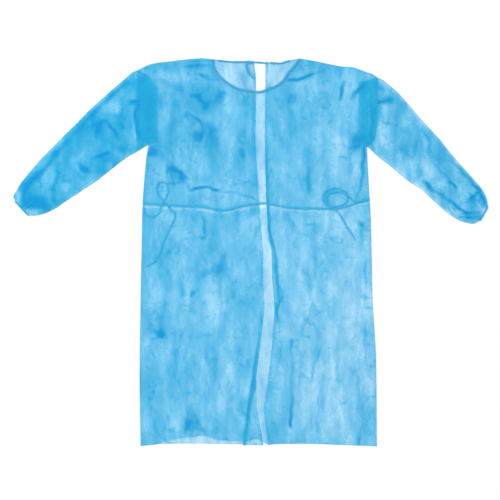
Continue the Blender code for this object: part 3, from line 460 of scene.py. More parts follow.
RIGHT_SLEEVE_CREASES = crease_rows(
    (5, 1, 2.0, (366, 1020), (394, 1022)),
    (8, 1, 0.9, (366, 1070), (388, 1052)),
    (6, 1, 0.9, (501, 943), (513, 925), (525, 901), (528, 871)),
    (4.5, 0.9, 0.8, (540, 839), (564, 812), (584, 787)),
    (4.5, 1.3, 1.9, (584, 787), (596, 773), (606, 760)),
    (7, 1.6, 2.3, (512, 786), (524, 773), (538, 761)),
    (7, 0.8, 0.7, (494, 833), (496, 790)),
    (6, 1.2, 1.3, (543, 760), (567, 745), (590, 730)),
    (6, 1.4, 2.2, (590, 730), (614, 708), (629, 694)),
    (6, 1, 1.2, (629, 694), (650, 683)),
    (6, 0.9, 0.6, (584, 863), (608, 836)),
    (6, 1, 1.2, (608, 836), (632, 809), (650, 787)),
    (6.5, 1.2, 2.2, (650, 787), (670, 759), (682, 737)),
    (5.5, 1, 1.2, (682, 737), (694, 711)),
    (5, 1, 1.4, (653, 735), (667, 753)),
    (5, 1, 1.6, (624, 692), (650, 694), (680, 696)),
    (5, 1, 1.8, (619, 680), (650, 678), (677, 674)),
    (7, 1, 1.2, (655, 686), (682, 684)),
    (6, 0.3, 0.7, (358, 1040), (358, 905)),
    (9, 1, 0.3, (430, 1020), (500, 930)),
    (9, 1, 0.3, (440, 900), (480, 850)),
)
RIGHT_SLEEVE_PATCHES = patch_rows(
    (405, 1026, 14, 9, 1.5), (374, 1005, 12, 26, 0.7), (445, 880, 6, 12, 0.6),
    (460, 934, 12, 12, 0.4), (653, 735, 8, 10, 1.2), (545, 880, 16, 50, 0.3),
    (440, 935, 28, 85, 0.25), (582, 815, 22, 26, 0.2), (640, 757, 28, 28, -0.35),
    (531, 824, 26, 24, -0.5), (561, 778, 18, 12, -0.5), (398, 922, 22, 40, -0.5),
    (478, 975, 30, 40, -0.3), (454, 820, 30, 30, -0.4), (334, 990, 8, 50, -0.5),
    (694, 700, 10, 10, -0.9), (600, 690, 30, 12, -0.5),
)


class GownCloth(bpy.types.PropertyGroup):
    """The nonwoven of the panels and sleeves."""

    pale: FloatVectorProperty(
        name="Pale blue", description="Colour of the cloth where its fibres lie thin",
        subtype="COLOR", size=3, min=0.0, max=1.0, default=(0.026, 0.625, 0.955),
    )
    # The deep blue also colours the painted shade along creases, in pleats and under the belt.
    deep: FloatVectorProperty(
        name="Deep blue", description="Colour of the cloth where its fibres lie close",
        subtype="COLOR", size=3, min=0.0, max=1.0, default=(0.003, 0.285, 0.630),
    )
    edge: FloatVectorProperty(
        name="Edge blue", description="Colour along seams and folded edges",
        subtype="COLOR", size=3, min=0.0, max=1.0, default=(0.020, 0.340, 0.600),
    )
    cover: FloatProperty(
        name="Cover", description="Share of the light that one layer stops",
        subtype="FACTOR", min=0.05, max=1.0, default=0.45,
    )
    cell: FloatProperty(
        name="Mesh cell", description="Spacing of the panels' mesh",
        unit="LENGTH", min=0.002, max=0.02, default=0.0031,
    )
    crumple: FloatProperty(
        name="Crumple", description="How far small random wrinkles lift the cloth",
        unit="LENGTH", min=0.0, max=0.003, default=0.0006,
    )
    bond_pitch: FloatProperty(
        name="Bond pitch", description="Spacing of the marks that bond the fibres",
        unit="LENGTH", min=0.0005, max=0.01, default=0.0016,
    )


class GownTrim(bpy.types.PropertyGroup):
    """Binding, belt, ties, cuffs and sewing."""

    strip: FloatVectorProperty(
        name="Strip blue", description="Colour of the belt and ties",
        subtype="COLOR", size=3, min=0.0, max=1.0, default=(0.004, 0.460, 0.770),
    )
    binding: FloatVectorProperty(
        name="Binding blue", description="Colour of the neck binding",
        subtype="COLOR", size=3, min=0.0, max=1.0, default=(0.024, 0.360, 0.640),
    )
    thread: FloatVectorProperty(
        name="Thread blue", description="Colour of the sewing thread",
        subtype="COLOR", size=3, min=0.0, max=1.0, default=(0.050, 0.420, 0.720),
    )
    belt_width: FloatProperty(
        name="Belt width", description="Width of the folded belt",
        unit="LENGTH", min=0.003, max=0.03, default=0.0050,
    )
    tie_width: FloatProperty(
        name="Tie width", description="Width of the folded ties",
        unit="LENGTH", min=0.003, max=0.03, default=0.0044,
    )
    binding_width: FloatProperty(
        name="Binding width", description="Width of the folded neck binding",
        unit="LENGTH", min=0.003, max=0.03, default=0.0055,
    )
    pleats: IntProperty(
        name="Cuff pleats", description="Pleats on each side of a gathered cuff",
        min=3, max=30, default=9,
    )
    stitch: FloatProperty(
        name="Stitch length", description="Length of one stitch",
        unit="LENGTH", min=0.001, max=0.01, default=0.0028,
    )
    stitch_pitch: FloatProperty(
        name="Stitch pitch", description="Distance from one stitch to the next",
        unit="LENGTH", min=0.0015, max=0.02, default=0.0038,
    )
    thread_width: FloatProperty(
        name="Thread width", description="Thickness of the sewing thread",
        unit="LENGTH", min=0.0001, max=0.002, default=0.0006,
    )


class GownStage(bpy.types.PropertyGroup):
    """The floor, the lights and the camera."""

    floor_tone: FloatVectorProperty(
        name="Floor tone", description="Colour of the plain floor",
        subtype="COLOR", size=3, min=0.0, max=1.0, default=(0.90, 0.90, 0.90),
    )
    floor_size: FloatProperty(
        name="Floor size", description="Side of the square floor",
        unit="LENGTH", min=2.0, max=100.0, default=30.0,
    )
    sky: FloatProperty(
        name="Soft light", description="Strength of the light from all round",
        min=0.0, max=5.0, default=0.80,
    )
    key: FloatProperty(
        name="Key light", description="Power of the large light at the upper left",
        unit="POWER", min=0.0, max=1000.0, default=470.0,
    )
    lens: FloatProperty(
        name="Lens", description="Focal length of the camera, in millimetres",
        min=20.0, max=300.0, default=100.0,
    )
    view_width: FloatProperty(
        name="View width", description="Width of the floor that the camera sees",
        unit="LENGTH", min=0.5, max=5.0, default=1.482,
    )


def blend(low, high, share):
    return low + (high - low) * share


def soft_step(share):
    share = np.clip(share, 0.0, 1.0)
    return share * share * (3 - 2 * share)


def smooth(rows, place, value=1):
    """A column's values at places between the rows, on a smooth curve through them all."""
    table = np.array(rows, float)
    knots, values = table[:, 0], table[:, value]
    span, rise = np.diff(knots), np.diff(values)
    slopes = np.empty_like(values)
    slopes[1:-1] = (values[2:] - values[:-2]) / (knots[2:] - knots[:-2])
    slopes[0], slopes[-1] = rise[0] / span[0], rise[-1] / span[-1]
    k = np.clip(np.searchsorted(knots, place, side="right") - 1, 0, len(knots) - 2)
    t = np.clip((place - knots[k]) / span[k], 0, 1)
    bend = t * (1 - t) ** 2 * slopes[k] - t * t * (1 - t) * slopes[k + 1]
    return values[k] + rise[k] * soft_step(t) + bend * span[k]


def straight(rows, place, value=1):
    """A column's values at places between the rows, on straight lines between them."""
    table = np.array(rows, float)
    return np.interp(place, table[:, 0], table[:, value])


def random_field(across, height, wide, tall, seed):
    """Smooth random values, from about -1 to 1, in patches of a given width and height."""
    places = zip(np.ravel(across) / wide, np.ravel(height) / tall)
    values = [noise.noise((a, b, seed)) for a, b in places]
    return np.array(values).reshape(np.shape(across))


def softened(field, passes):
    """The field with each value drawn towards its neighbours'."""
    for _ in range(passes):
        wide = np.pad(field, 1, mode="edge")
        beside = wide[:-2, 1:-1] + wide[2:, 1:-1] + wide[1:-1, :-2] + wide[1:-1, 2:]
        field = (beside + 4 * field) / 8
    return field


def distance_along(line, across, height):
    """How far each place is from a line, and the share of the line's length at its nearest point."""
    line = np.array(line)
    runs = np.diff(line, axis=0)
    lengths = np.hypot(*runs.T)
    far, share = np.full(np.shape(across), np.inf), np.zeros(np.shape(across))
    for start, run, length, passed in zip(line, runs, lengths, np.cumsum(lengths) - lengths):
        a, h = across - start[0], height - start[1]
        along = np.clip((a * run[0] + h * run[1]) / length ** 2, 0, 1)
        apart = np.hypot(a - along * run[0], h - along * run[1])
        share = np.where(apart < far, (passed + along * length) / lengths.sum(), share)
        far = np.minimum(far, apart)
    return far, share


def crease_fields(creases, patches, across, height):
    """How far creases lift cloth, and how far they and the patches deepen its colour. Along a crease
    the deeper colour is partly folded cloth and partly painted shade, and beside it a little paler, as
    a painted highlight.
    """
    sway = 0.0022 * np.sin(61 * height + 23 * across)
    sway = sway + 0.0013 * np.sin(143 * height - 71 * across)
    a, h = across + sway, height + 0.8 * sway
    lift, shade = np.zeros_like(a), np.zeros_like(a)
    for row in creases:
        far, share = distance_along(row.line, a, h)
        far /= row.width
        fade = np.sin(math.pi * (0.14 + 0.72 * share))
        ridge = np.exp(-0.7 * far * far) * fade
        trough = np.exp(-0.25 * (far - 2.2) ** 2) * fade
        lift += row.lift * (ridge - 0.3 * trough)
        # Painted shade along the crease, partly standing for the folded cloth, and a painted highlight
        # in the trough beside it.
        shade += row.shade * np.exp(-1.6 * far * far) * fade - 0.12 * row.shade * trough
    ragged = 1 + 0.45 * random_field(a, h, 0.007, 0.009, 40.0)
    for row in patches:
        small = max(row.wide, row.tall) < SMALL_PATCH
        lean = 0.45 * math.sin(97 * row.across + 61 * row.height) if small else 0.0
        beside = np.abs(a - row.across + lean * (h - row.height)) / row.wide
        along = np.abs(h - row.height) / row.tall
        far = np.hypot(beside, along)
        if small:
            far = (beside ** 3 + along ** 3) ** (1 / 3) * ragged
        shade += row.shade * np.exp(-0.8 * far ** (3.6 if small else 2.2))
    return lift, shade


def small_wrinkles(across, height, size, seed):
    """The lift of small random wrinkles: long soft ones up the cloth and sharper ones askew."""
    slant, cross = across + 0.6 * height, height - 0.6 * across
    soft = random_field(across, height, 0.045, 0.150, seed)
    sharp = 1 - np.abs(random_field(slant, cross, 0.060, 0.110, seed + 3))
    other = 1 - np.abs(random_field(cross, slant, 0.110, 0.045, seed + 7))
    fine = random_field(across, height, 0.012, 0.022, seed + 11)
    return size * (0.9 * soft + 0.9 * sharp ** 8 + 0.7 * other ** 10 + 0.25 * fine)


def surfaces_of(*names):
    """What a look straight down meets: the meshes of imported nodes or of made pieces."""
    trees = []
    for name in names:
        mesh = (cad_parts.get(name) or bpy.data.objects[name]).data
        corners = [v.co for v in mesh.vertices]
        trees.append(BVHTree.FromPolygons(corners, [tuple(p.vertices) for p in mesh.polygons]))
    return trees


def heights_under(trees, across, height):
    """The highest surface under each place, or the nearest one where nothing is under it."""
    down = Vector((0, 0, -1))
    found = []
    for a, h in zip(np.ravel(across), np.ravel(height)):
        eye = Vector((a, h - GOWN_LENGTH / 2, LOOK_FROM))
        hits = [tree.ray_cast(eye, down)[0] for tree in trees]
        tops = [hit.z for hit in hits if hit]
        found.append(max(tops) if tops else trees[0].find_nearest(eye)[0].z)
    return np.array(found).reshape(np.shape(across))


def points_of(across, height, z):
    return np.stack([across, height - GOWN_LENGTH / 2, z], axis=-1)


def add_mesh(name, corners, faces, finish, fields=()):
    """An object of a mesh, with point attributes that its shader reads."""
    mesh = bpy.data.meshes.new(name)
    mesh.from_pydata(corners.tolist(), [], faces)
    for field_name, values in dict(fields).items():
        layer = mesh.attributes.new(field_name, "FLOAT", "POINT")
        layer.data.foreach_set("value", np.ravel(values).astype(np.float32))
    mesh.materials.append(finish)
    made = bpy.data.objects.new(name, mesh)
    bpy.context.scene.collection.objects.link(made)
    return made


def cloth_piece(name, points, finish, fields, closed=False, flip=False):
    """A smooth piece of cloth through a grid of points."""
    rows, columns = points.shape[:2]
    wide = columns if closed else columns - 1
    r, c = np.meshgrid(np.arange(rows - 1), np.arange(wide), indexing="ij")
    n = (c + 1) % columns
    quads = [r * columns + c, r * columns + n, (r + 1) * columns + n, (r + 1) * columns + c]
    quads = np.stack(quads, axis=-1).reshape(-1, 4)
    quads = quads[:, ::-1] if flip else quads
    made = add_mesh(name, points.reshape(-1, 3), quads.tolist(), finish, fields)
    made.data.shade_smooth()
    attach(made, "root")
    return made


def tube_piece(name, node, sides, finish, cuts):
    """A closed flat tube. Sides are pairs of grids, for its upper and its under side."""
    across, height, z, shade, edge = [np.hstack([up, down[:, -2:0:-1]]) for up, down in sides]
    made = cloth_piece(name, points_of(across, height, z), finish,
                       {"shade": shade, "edge": edge}, closed=True, flip=cuts[0].top_across > 0)
    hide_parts(node)
    return made


class Shader:
    """Adds nodes to one material, and joins them."""

    def __init__(self, name):
        self.material = bpy.data.materials.new(name)
        self.material.use_nodes = True
        self.tree = self.material.node_tree
        self.surface = self.tree.nodes["Principled BSDF"]

    def give(self, socket, value):
        if isinstance(value, bpy.types.NodeSocket):
            self.tree.links.new(value, socket)
        elif value is not None:
            socket.default_value = value

    def add(self, kind, inputs, output=0, **settings):
        made = self.tree.nodes.new(kind)
        for name, value in settings.items():
            setattr(made, name, value)
        for name, value in inputs.items():
            self.give(made.inputs[name], value)
        return made.outputs[output]

    def maths(self, operation, *values, clamp=False):
        inputs = dict(enumerate(values))
        return self.add("ShaderNodeMath", inputs, operation=operation, use_clamp=clamp)

    def mixed(self, share, low, high):
        made = self.tree.nodes.new("ShaderNodeMix")
        made.data_type = "RGBA"
        for place, value in ((0, share), (6, low), (7, high)):
            self.give(made.inputs[place], value)
        return made.outputs[2]

    def clouds(self, place, wide, tall, seed, detail=3.0, turn=0.0):
        """Noise from 0 to 1 in patches of a given width and height, centred on a half."""
        turned = self.add("ShaderNodeMapping", {"Vector": place, "Rotation": (0.0, 0.0, turn)})
        sized = self.add("ShaderNodeMapping", {
            "Vector": turned, "Location": (seed, seed * 0.7, 0.0),
            "Scale": (1 / wide, 1 / tall, 1 / wide),
        })
        return self.add("ShaderNodeTexNoise", {
            "Vector": sized, "Scale": 1.0, "Detail": detail, "Roughness": 0.55, "Distortion": 0.35,
        })

    def creases(self, place, wide, tall, seed, turn, thin):
        """Thin wandering lines, 1 along their middle, in broken stretches."""
        level = self.clouds(place, wide, tall, seed, detail=1.5, turn=turn)
        off = self.maths("ABSOLUTE", self.maths("SUBTRACT", level, 0.5))
        line = self.maths("MULTIPLY_ADD", off, -1 / thin, 1.0, clamp=True)
        shown = self.clouds(place, 1.3 * wide, 0.7 * tall, seed + 3, detail=1.0, turn=turn)
        shown = self.maths("MULTIPLY_ADD", shown, 7.0, -3.4, clamp=True)
        return self.maths("MULTIPLY", line, shown)

    def field(self, name):
        return self.add("ShaderNodeAttribute", {}, output=2, attribute_name=name)

    def kept(self, value, low, high):
        return self.maths("MAXIMUM", self.maths("MINIMUM", value, high), low)

    def finished(self, inputs):
        """The material, once its surface has these inputs."""
        for name, value in inputs.items():
            self.give(self.surface.inputs[name], value)
        return self.material


def four(color):
    return (*color, 1.0)


def nonwoven(name, seed, cover_share=1.0):
    """Thin nonwoven: clouds and streaks of fibre, bond marks, creases and darker edges. The crease
    lines have a bump and deepen the colour partly as folded cloth and partly as painted shade.
    """
    cloth = bpy.context.scene.gown_cloth
    shader = Shader(name)
    place = shader.add("ShaderNodeTexCoord", {}, output=3)
    broad = shader.clouds(place, 0.045, 0.120, seed, detail=2.0)
    streaks = shader.clouds(place, 0.013, 0.090, seed + 5, detail=2.5)
    puffs = shader.clouds(place, 0.018, 0.028, seed + 9, detail=2.5)
    fibres = shader.clouds(place, 0.0011, 0.0026, seed + 13, detail=2.0)
    bonds = shader.add("ShaderNodeTexVoronoi", {
        "Vector": place, "Scale": 1 / cloth.bond_pitch, "Randomness": 0.25,
    })
    long_lines = shader.creases(place, 0.040, 0.170, seed + 17, 0.06, 0.010)
    slant_lines = shader.creases(place, 0.045, 0.095, seed + 21, 0.75, 0.011)
    cross_lines = shader.creases(place, 0.050, 0.110, seed + 25, -0.95, 0.010)
    askew_lines = shader.maths("ADD", slant_lines, cross_lines)
    lines = shader.maths("ADD", long_lines, askew_lines, clamp=True)
    lively = shader.maths("MULTIPLY_ADD", shader.field("calm"), -1.0, 1.0)
    lines = shader.maths("MULTIPLY", lines, lively)
    # Crease lines deepen the colour: partly folded cloth, partly painted shade.
    total = shader.maths("MULTIPLY_ADD", lines, 0.85, shader.field("shade"))
    for field, share in ((broad, 2.1), (streaks, 0.7), (puffs, 0.75), (fibres, 0.25)):
        centred = shader.maths("SUBTRACT", field, 0.5)
        total = shader.maths("MULTIPLY_ADD", centred, share, total)
    bond_mark = shader.maths("LESS_THAN", bonds, 0.22)
    total = shader.maths("MULTIPLY_ADD", bond_mark, 0.10, total)
    edge = shader.field("edge")
    thick = shader.maths("MULTIPLY_ADD", edge, 0.8, total)
    cover = shader.maths("MULTIPLY_ADD", thick, 0.30, cloth.cover * cover_share)
    cover = shader.kept(cover, 0.10, 0.97)
    deepness = shader.maths("MULTIPLY_ADD", total, 0.42, 0.27, clamp=True)
    color = shader.mixed(deepness, four(cloth.pale), four(cloth.deep))
    color = shader.mixed(shader.maths("MULTIPLY", edge, 0.7, clamp=True), color, four(cloth.edge))
    relief = shader.maths("MULTIPLY_ADD", bond_mark, -0.5, fibres)
    relief = shader.maths("MULTIPLY_ADD", lines, 2.5, relief)
    bump = shader.add("ShaderNodeBump", {"Height": relief, "Strength": 0.45, "Distance": 0.0005})
    rough = shader.maths("MULTIPLY_ADD", fibres, 0.25, 0.55)
    return shader.finished({
        "Base Color": color, "Alpha": cover, "Roughness": rough, "Normal": bump,
        "Sheen Weight": 0.06, "Sheen Roughness": 0.4, "Specular IOR Level": 0.14,
    })


def strip_cloth(name, color, seed, cover):
    """Folded strips of the same cloth: denser, with the fibres along them."""
    shader = Shader(name)
    place = shader.add("ShaderNodeTexCoord", {}, output=3)
    clouds = shader.clouds(place, 0.012, 0.012, seed)
    fibres = shader.clouds(place, 0.0010, 0.0010, seed + 4, detail=2.0)
    clouds = shader.maths("MULTIPLY_ADD", clouds, 1.2, -0.6)
    shade = shader.maths("ADD", shader.field("shade"), clouds)
    level = shader.maths("MULTIPLY_ADD", shade, 0.5, 0.5, clamp=True)
    pale = tuple(min(1.0, 1.25 * c + 0.01) for c in color)
    deep = tuple(0.78 * c for c in color)
    bump = shader.add("ShaderNodeBump", {"Height": fibres, "Strength": 0.4, "Distance": 0.0003})
    return shader.finished({
        "Base Color": shader.mixed(level, four(pale), four(deep)),
        "Alpha": shader.kept(shader.maths("MULTIPLY_ADD", shade, 0.25, cover), 0.15, 1.0),
        "Roughness": shader.maths("MULTIPLY_ADD", fibres, 0.2, 0.6),
        "Normal": bump,
        "Sheen Weight": 0.1,
    })


def thread_finish(name, color):
    """Fine twisted sewing thread."""
    shader = Shader(name)
    place = shader.add("ShaderNodeTexCoord", {}, output=3)
    twist = shader.clouds(place, 0.0006, 0.0006, 2.0, detail=1.0)
    pale = tuple(min(1.0, 1.4 * c) for c in color)
    return shader.finished({
        "Base Color": shader.mixed(twist, four(color), four(pale)),
        "Roughness": shader.maths("MULTIPLY_ADD", twist, 0.2, 0.45),
    })


def floor_finish(name, color):
    """The plain pale floor, with hardly any grain."""
    shader = Shader(name)
    place = shader.add("ShaderNodeTexCoord", {}, output=3)
    grain = shader.clouds(place, 0.4, 0.4, 1.0)
    low = tuple(c * 0.985 for c in color)
    return shader.finished({
        "Base Color": shader.mixed(grain, four(low), four(color)),
        "Roughness": 0.9,
        "Specular IOR Level": 0.1,
    })


def panel_rows(cell):
    """How many rows of mesh a panel has below the armpits, and above them."""
    armpit = LEFT_SIDE[-1].height
    return round(armpit / cell), round((GOWN_LENGTH - armpit) / (0.85 * cell))


def row_ends(low_rows, high_rows, hem, top_left, top_right):
    """The places across of both ends of each of a panel's rows, and the rows' shares."""
    shares = np.concatenate([np.arange(low_rows) / low_rows, 1 + np.arange(high_rows + 1) / high_rows])
    ends = []
    for side, armhole, first, top in (
        (LEFT_SIDE, LEFT_ARMHOLE, hem[0], top_left), (RIGHT_SIDE, RIGHT_ARMHOLE, hem[-1], top_right),
    ):
        armpit = side[-1].height
        low = blend(first.height, armpit, np.clip(shares, 0, 1))
        high = blend(armpit, top, np.clip(shares - 1, 0, 1))
        ends.append(np.where(shares < 1, smooth(side, low), straight(armhole, high)))
    return ends[0], ends[1], shares


def panel_heights(shares, share_across, hem, top):
    """The heights of a panel's points: between its hem, the line of the armpits and its top."""
    armpit = blend(LEFT_SIDE[-1].height, RIGHT_SIDE[-1].height, share_across)
    hem_height = smooth(hem, blend(hem[0].across, hem[-1].across, share_across))
    low = blend(hem_height, armpit, np.clip(shares, 0, 1))
    return np.where(shares < 1, low, blend(armpit, top, np.clip(shares - 1, 0, 1)))


def panel_top(neck, at_top):
    """The height of a panel's top edge: shoulders, and the neckline between them."""
    shoulder = np.where(at_top < 0, smooth(LEFT_SHOULDER, at_top), smooth(RIGHT_SHOULDER, at_top))
    inside = (at_top > neck[0].across) & (at_top < neck[-1].across)
    return np.where(inside, straight(neck, at_top), shoulder)


def near_edge(across, height, reach, columns=(0, -1)):
    """1 on a grid's first and last rows and on some columns, falling to 0 at a reach from them."""
    far = np.full(across.shape, 1e9)
    sides = [(across[row], height[row]) for row in (0, -1)]
    sides += [(across[:, column], height[:, column]) for column in columns]
    for a, h in sides:
        step = max(1, len(a) // EDGE_PIECES)
        for k in range(0, len(a) - 1, step):
            m = min(k + step, len(a) - 1)
            run = np.array((a[m] - a[k], h[m] - h[k]))
            length = max(run @ run, 1e-12)
            off_across, off_height = across - a[k], height - h[k]
            along = np.clip((off_across * run[0] + off_height * run[1]) / length, 0, 1)
            apart = np.hypot(off_across - run[0] * along, off_height - run[1] * along)
            far = np.minimum(far, apart)
    return np.clip(1 - far / reach, 0, 1)


def make_front():
    """The front panel, on its solid, with its creases, and painted shade and a painted highlight along
    the belt.
    """
    cloth = bpy.context.scene.gown_cloth
    low_rows, high_rows = panel_rows(cloth.cell)
    left_top, right_top = LEFT_SHOULDER[0], RIGHT_SHOULDER[-1]
    count = round((right_top.across - left_top.across) / cloth.cell)
    at_top = np.linspace(left_top.across, right_top.across, count + 1)
    share_across = np.linspace(0, 1, count + 1)[None, :]
    left, right, shares = row_ends(low_rows, high_rows, FRONT_HEM, left_top.height, right_top.height)
    across = blend(left[:, None], right[:, None], share_across)
    top = panel_top(FRONT_NECK, at_top)[None, :]
    height = panel_heights(shares[:, None], share_across, FRONT_HEM, top)
    z = softened(heights_under(surfaces_of("front_panel"), across, height), FRONT_SOFTENING)
    z -= WALL / 2
    lift, shade = crease_fields(FRONT_CREASES, FRONT_PATCHES, across, height)
    lift += small_wrinkles(across, height, cloth.crumple, 2.0)
    below_belt = smooth(BELT_LINE, across) - height
    # Painted shade on the cloth under the belt, and a painted highlight just below it.
    belt_painted_shade = 0.5 * np.exp(-(below_belt / 0.004) ** 2)
    shade += belt_painted_shade - 1.2 * np.exp(-((below_belt - 0.0075) / 0.0036) ** 2)
    free = 1 - near_edge(across, height, PLAIN_EDGE)
    z += np.clip(lift, -0.0005, 0.0040) * free
    z -= 0.0006 * near_edge(across, height, DROPPED_EDGE)
    gap_left, gap_right = straight(BACK_OPENING, height, 1), straight(BACK_OPENING, height, 2)
    in_gap = soft_step((across - gap_left) / 0.003) * soft_step((gap_right - across) / 0.003)
    # Deeper over the opening below the waist: painted shade for the shadowed floor seen through the
    # single layer.
    shade += 0.30 * in_gap * soft_step((0.72 - height) / 0.1)
    edge = 0.4 * near_edge(across, height, DARK_EDGE)
    front = cloth_piece("front", points_of(across, height, z), nonwoven("front_nonwoven", 1.0),
                        {"shade": shade, "edge": edge, "calm": 0.85 * in_gap})
    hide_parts("front_panel")
    return front


def make_back(name, node, way, finish):
    """One back panel with its turned edge. Way is 1 for the panel on the left."""
    cloth = bpy.context.scene.gown_cloth
    cell = cloth.cell * BACK_CELLS
    low_rows, high_rows = panel_rows(cell)
    left_top, right_top = LEFT_SHOULDER[0], RIGHT_SHOULDER[-1]
    left, right, shares = row_ends(low_rows, high_rows, BACK_HEM, left_top.height, right_top.height)
    side = LEFT_SIDE if way > 0 else RIGHT_SIDE
    end = left_top.height if way > 0 else right_top.height
    armpit = side[-1].height
    outer_height = np.where(shares < 1, armpit * shares, blend(armpit, end, shares - 1))
    edge_at = straight(BACK_OPENING, outer_height, 1 if way > 0 else 2)
    turn = straight(BACK_OPENING, outer_height, 3 if way > 0 else 4)
    deep = straight(BACK_OPENING, outer_height, 5 if way > 0 else 6)[:, None]
    outer = left if way > 0 else right
    count = round(BACK_WIDTH / cell)
    radius = LAYER / 2
    flat = np.linspace(0, 1, count + 1)[None, :]
    across = blend(outer[:, None], (edge_at - way * (radius + WALL / 2))[:, None], flat)
    share_across = (across - left[:, None]) / (right - left)[:, None]
    top = panel_top(BACK_NECK, blend(left_top.across, right_top.across, share_across))
    height = panel_heights(shares[:, None], share_across, BACK_HEM, top)
    lift, shade = crease_fields(BACK_CREASES, BACK_PATCHES, across, height)
    lift += 0.35 * small_wrinkles(across, height, cloth.crumple, 21.0)
    free = 1 - near_edge(across, height, PLAIN_EDGE)
    z = WALL / 2 + np.clip(lift, -0.0003, 0.0004) * free
    angles = np.linspace(0, math.pi, ROUND_STEPS + 1)[1:]
    centre = across[:, -1:]
    round_across = centre + way * radius * np.sin(angles)
    strip = np.linspace(0, 1, TURNED_STEPS + 1)[1:]
    strip_across = centre - way * turn[:, None] * strip
    many = len(angles) + len(strip)
    across = np.hstack([across, round_across, strip_across])
    height = np.hstack([height, np.repeat(height[:, -1:], many, axis=1)])
    rise = np.concatenate([radius - radius * np.cos(angles), np.full(len(strip), LAYER)])
    z = np.hstack([z, z[:, -1:] + rise])
    wide_turn = np.clip((turn[:, None] - 0.006) / 0.005, 0, 1)
    turned = deep + wide_turn * (3.0 * strip ** 4 - 1.6)
    round_shade = np.repeat(shade[:, -1:] + deep, len(angles), axis=1)
    shade = np.hstack([shade, round_shade, shade[:, -1:] + turned])
    edge = 0.4 * near_edge(across[:, :count + 1], height[:, :count + 1], DARK_EDGE, columns=(0,))
    edge = np.hstack([edge, np.zeros((len(edge), many))])
    calm = 0.8 * soft_step((height - 1.03) / 0.03)
    back = cloth_piece(name, points_of(across, height, z), finish,
                       {"shade": shade, "edge": edge, "calm": calm}, flip=way < 0)
    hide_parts(node)
    return back


def sleeve_shape(cuts, stations, points_a_side, pleats, seed):
    """A sleeve's rings: across, height, how high, share across the ring, and how gathered."""
    table = [(k, *cut) for k, cut in enumerate(cuts)]
    cut = [smooth(table, stations, column)[:, None] for column in range(1, 8)]
    half = np.hypot(cut[0] - cut[2], cut[1] - cut[3]) / 2
    round_share = np.clip(0.0035 / half, 0.001, 0.3)
    even = np.linspace(-1, 1, points_a_side)[None, :]
    share = np.sign(even) * (1 - (1 - np.abs(even)) ** 1.25)
    share = np.repeat(share, len(stations), axis=0)
    across = blend(cut[2], cut[0], (share + 1) / 2)
    height = blend(cut[3], cut[1], (share + 1) / 2)
    rounding = np.sqrt(1 - np.clip((np.abs(share) - 1) / round_share + 1, 0, 1) ** 2)
    wander = 0.10 * np.sin(5.0 * share + seed) + 0.05 * np.sin(13.0 * share + 2 * seed)
    wave = 0.5 - 0.5 * np.cos(math.pi * (share + 1 + wander) * pleats)
    uneven = 0.65 + 0.35 * np.sin(9.0 * share + 3 * seed)
    return across, height, cut[4], cut[5], cut[6], share, rounding, wave * uneven


def make_sleeve(name, node, cuts, creases, patches, finish, seed, deeper, end):
    """A sleeve laid flat: a tube whose upper side has the creases and whose under side rests."""
    trim = bpy.context.scene.gown_trim
    stations = np.linspace(0, len(cuts) - 1, STATIONS_A_CUT * (len(cuts) - 1) + 1)
    shape = sleeve_shape(cuts, stations, SLEEVE_POINTS, trim.pleats, seed)
    across, height, base, crown, gathered, share, rounding, wave = shape
    lift, shade = crease_fields(creases, patches, across, height)
    lift += small_wrinkles(across, height, 0.0008, seed)
    shade += deeper
    under_front = np.clip(1.62 - stations * 0.6, 0, 1)[:, None]
    inside = np.clip((end - stations) / 0.25, 0, 1)[:, None]
    lift = np.clip(lift, -0.0008, 0.0035) * (1 - soft_step(under_front))
    gather = np.clip(gathered, 0, 1) ** 0.8
    top = base + 0.0020 + crown * (1 - share ** 2) ** 0.7 + lift + 0.0016 * gather * wave
    middle = base + 0.0010
    top_z = blend(middle, top, rounding)
    under_z = blend(middle, base + 0.0003 + 0.0002 * wave * gather, rounding)
    # Painted shade in the troughs between the gathered pleats, paler on their crests.
    shade = shade + gather * (0.9 - 1.1 * wave)
    shade = shade + 0.35 * inside - 1.6 * np.clip(1 - stations / 0.45, 0, 1)[:, None]
    shade = shade - 0.5 * soft_step((np.abs(share) - 0.88) / 0.06) * (1 - inside)
    outline = 0.9 * np.clip(1 - (1 - np.abs(share)) / 0.022, 0, 1)
    sides = ((across, across), (height, height), (top_z, under_z), (shade, 0.4 * shade),
             (outline, outline))
    return tube_piece(name, node, sides, finish, cuts)


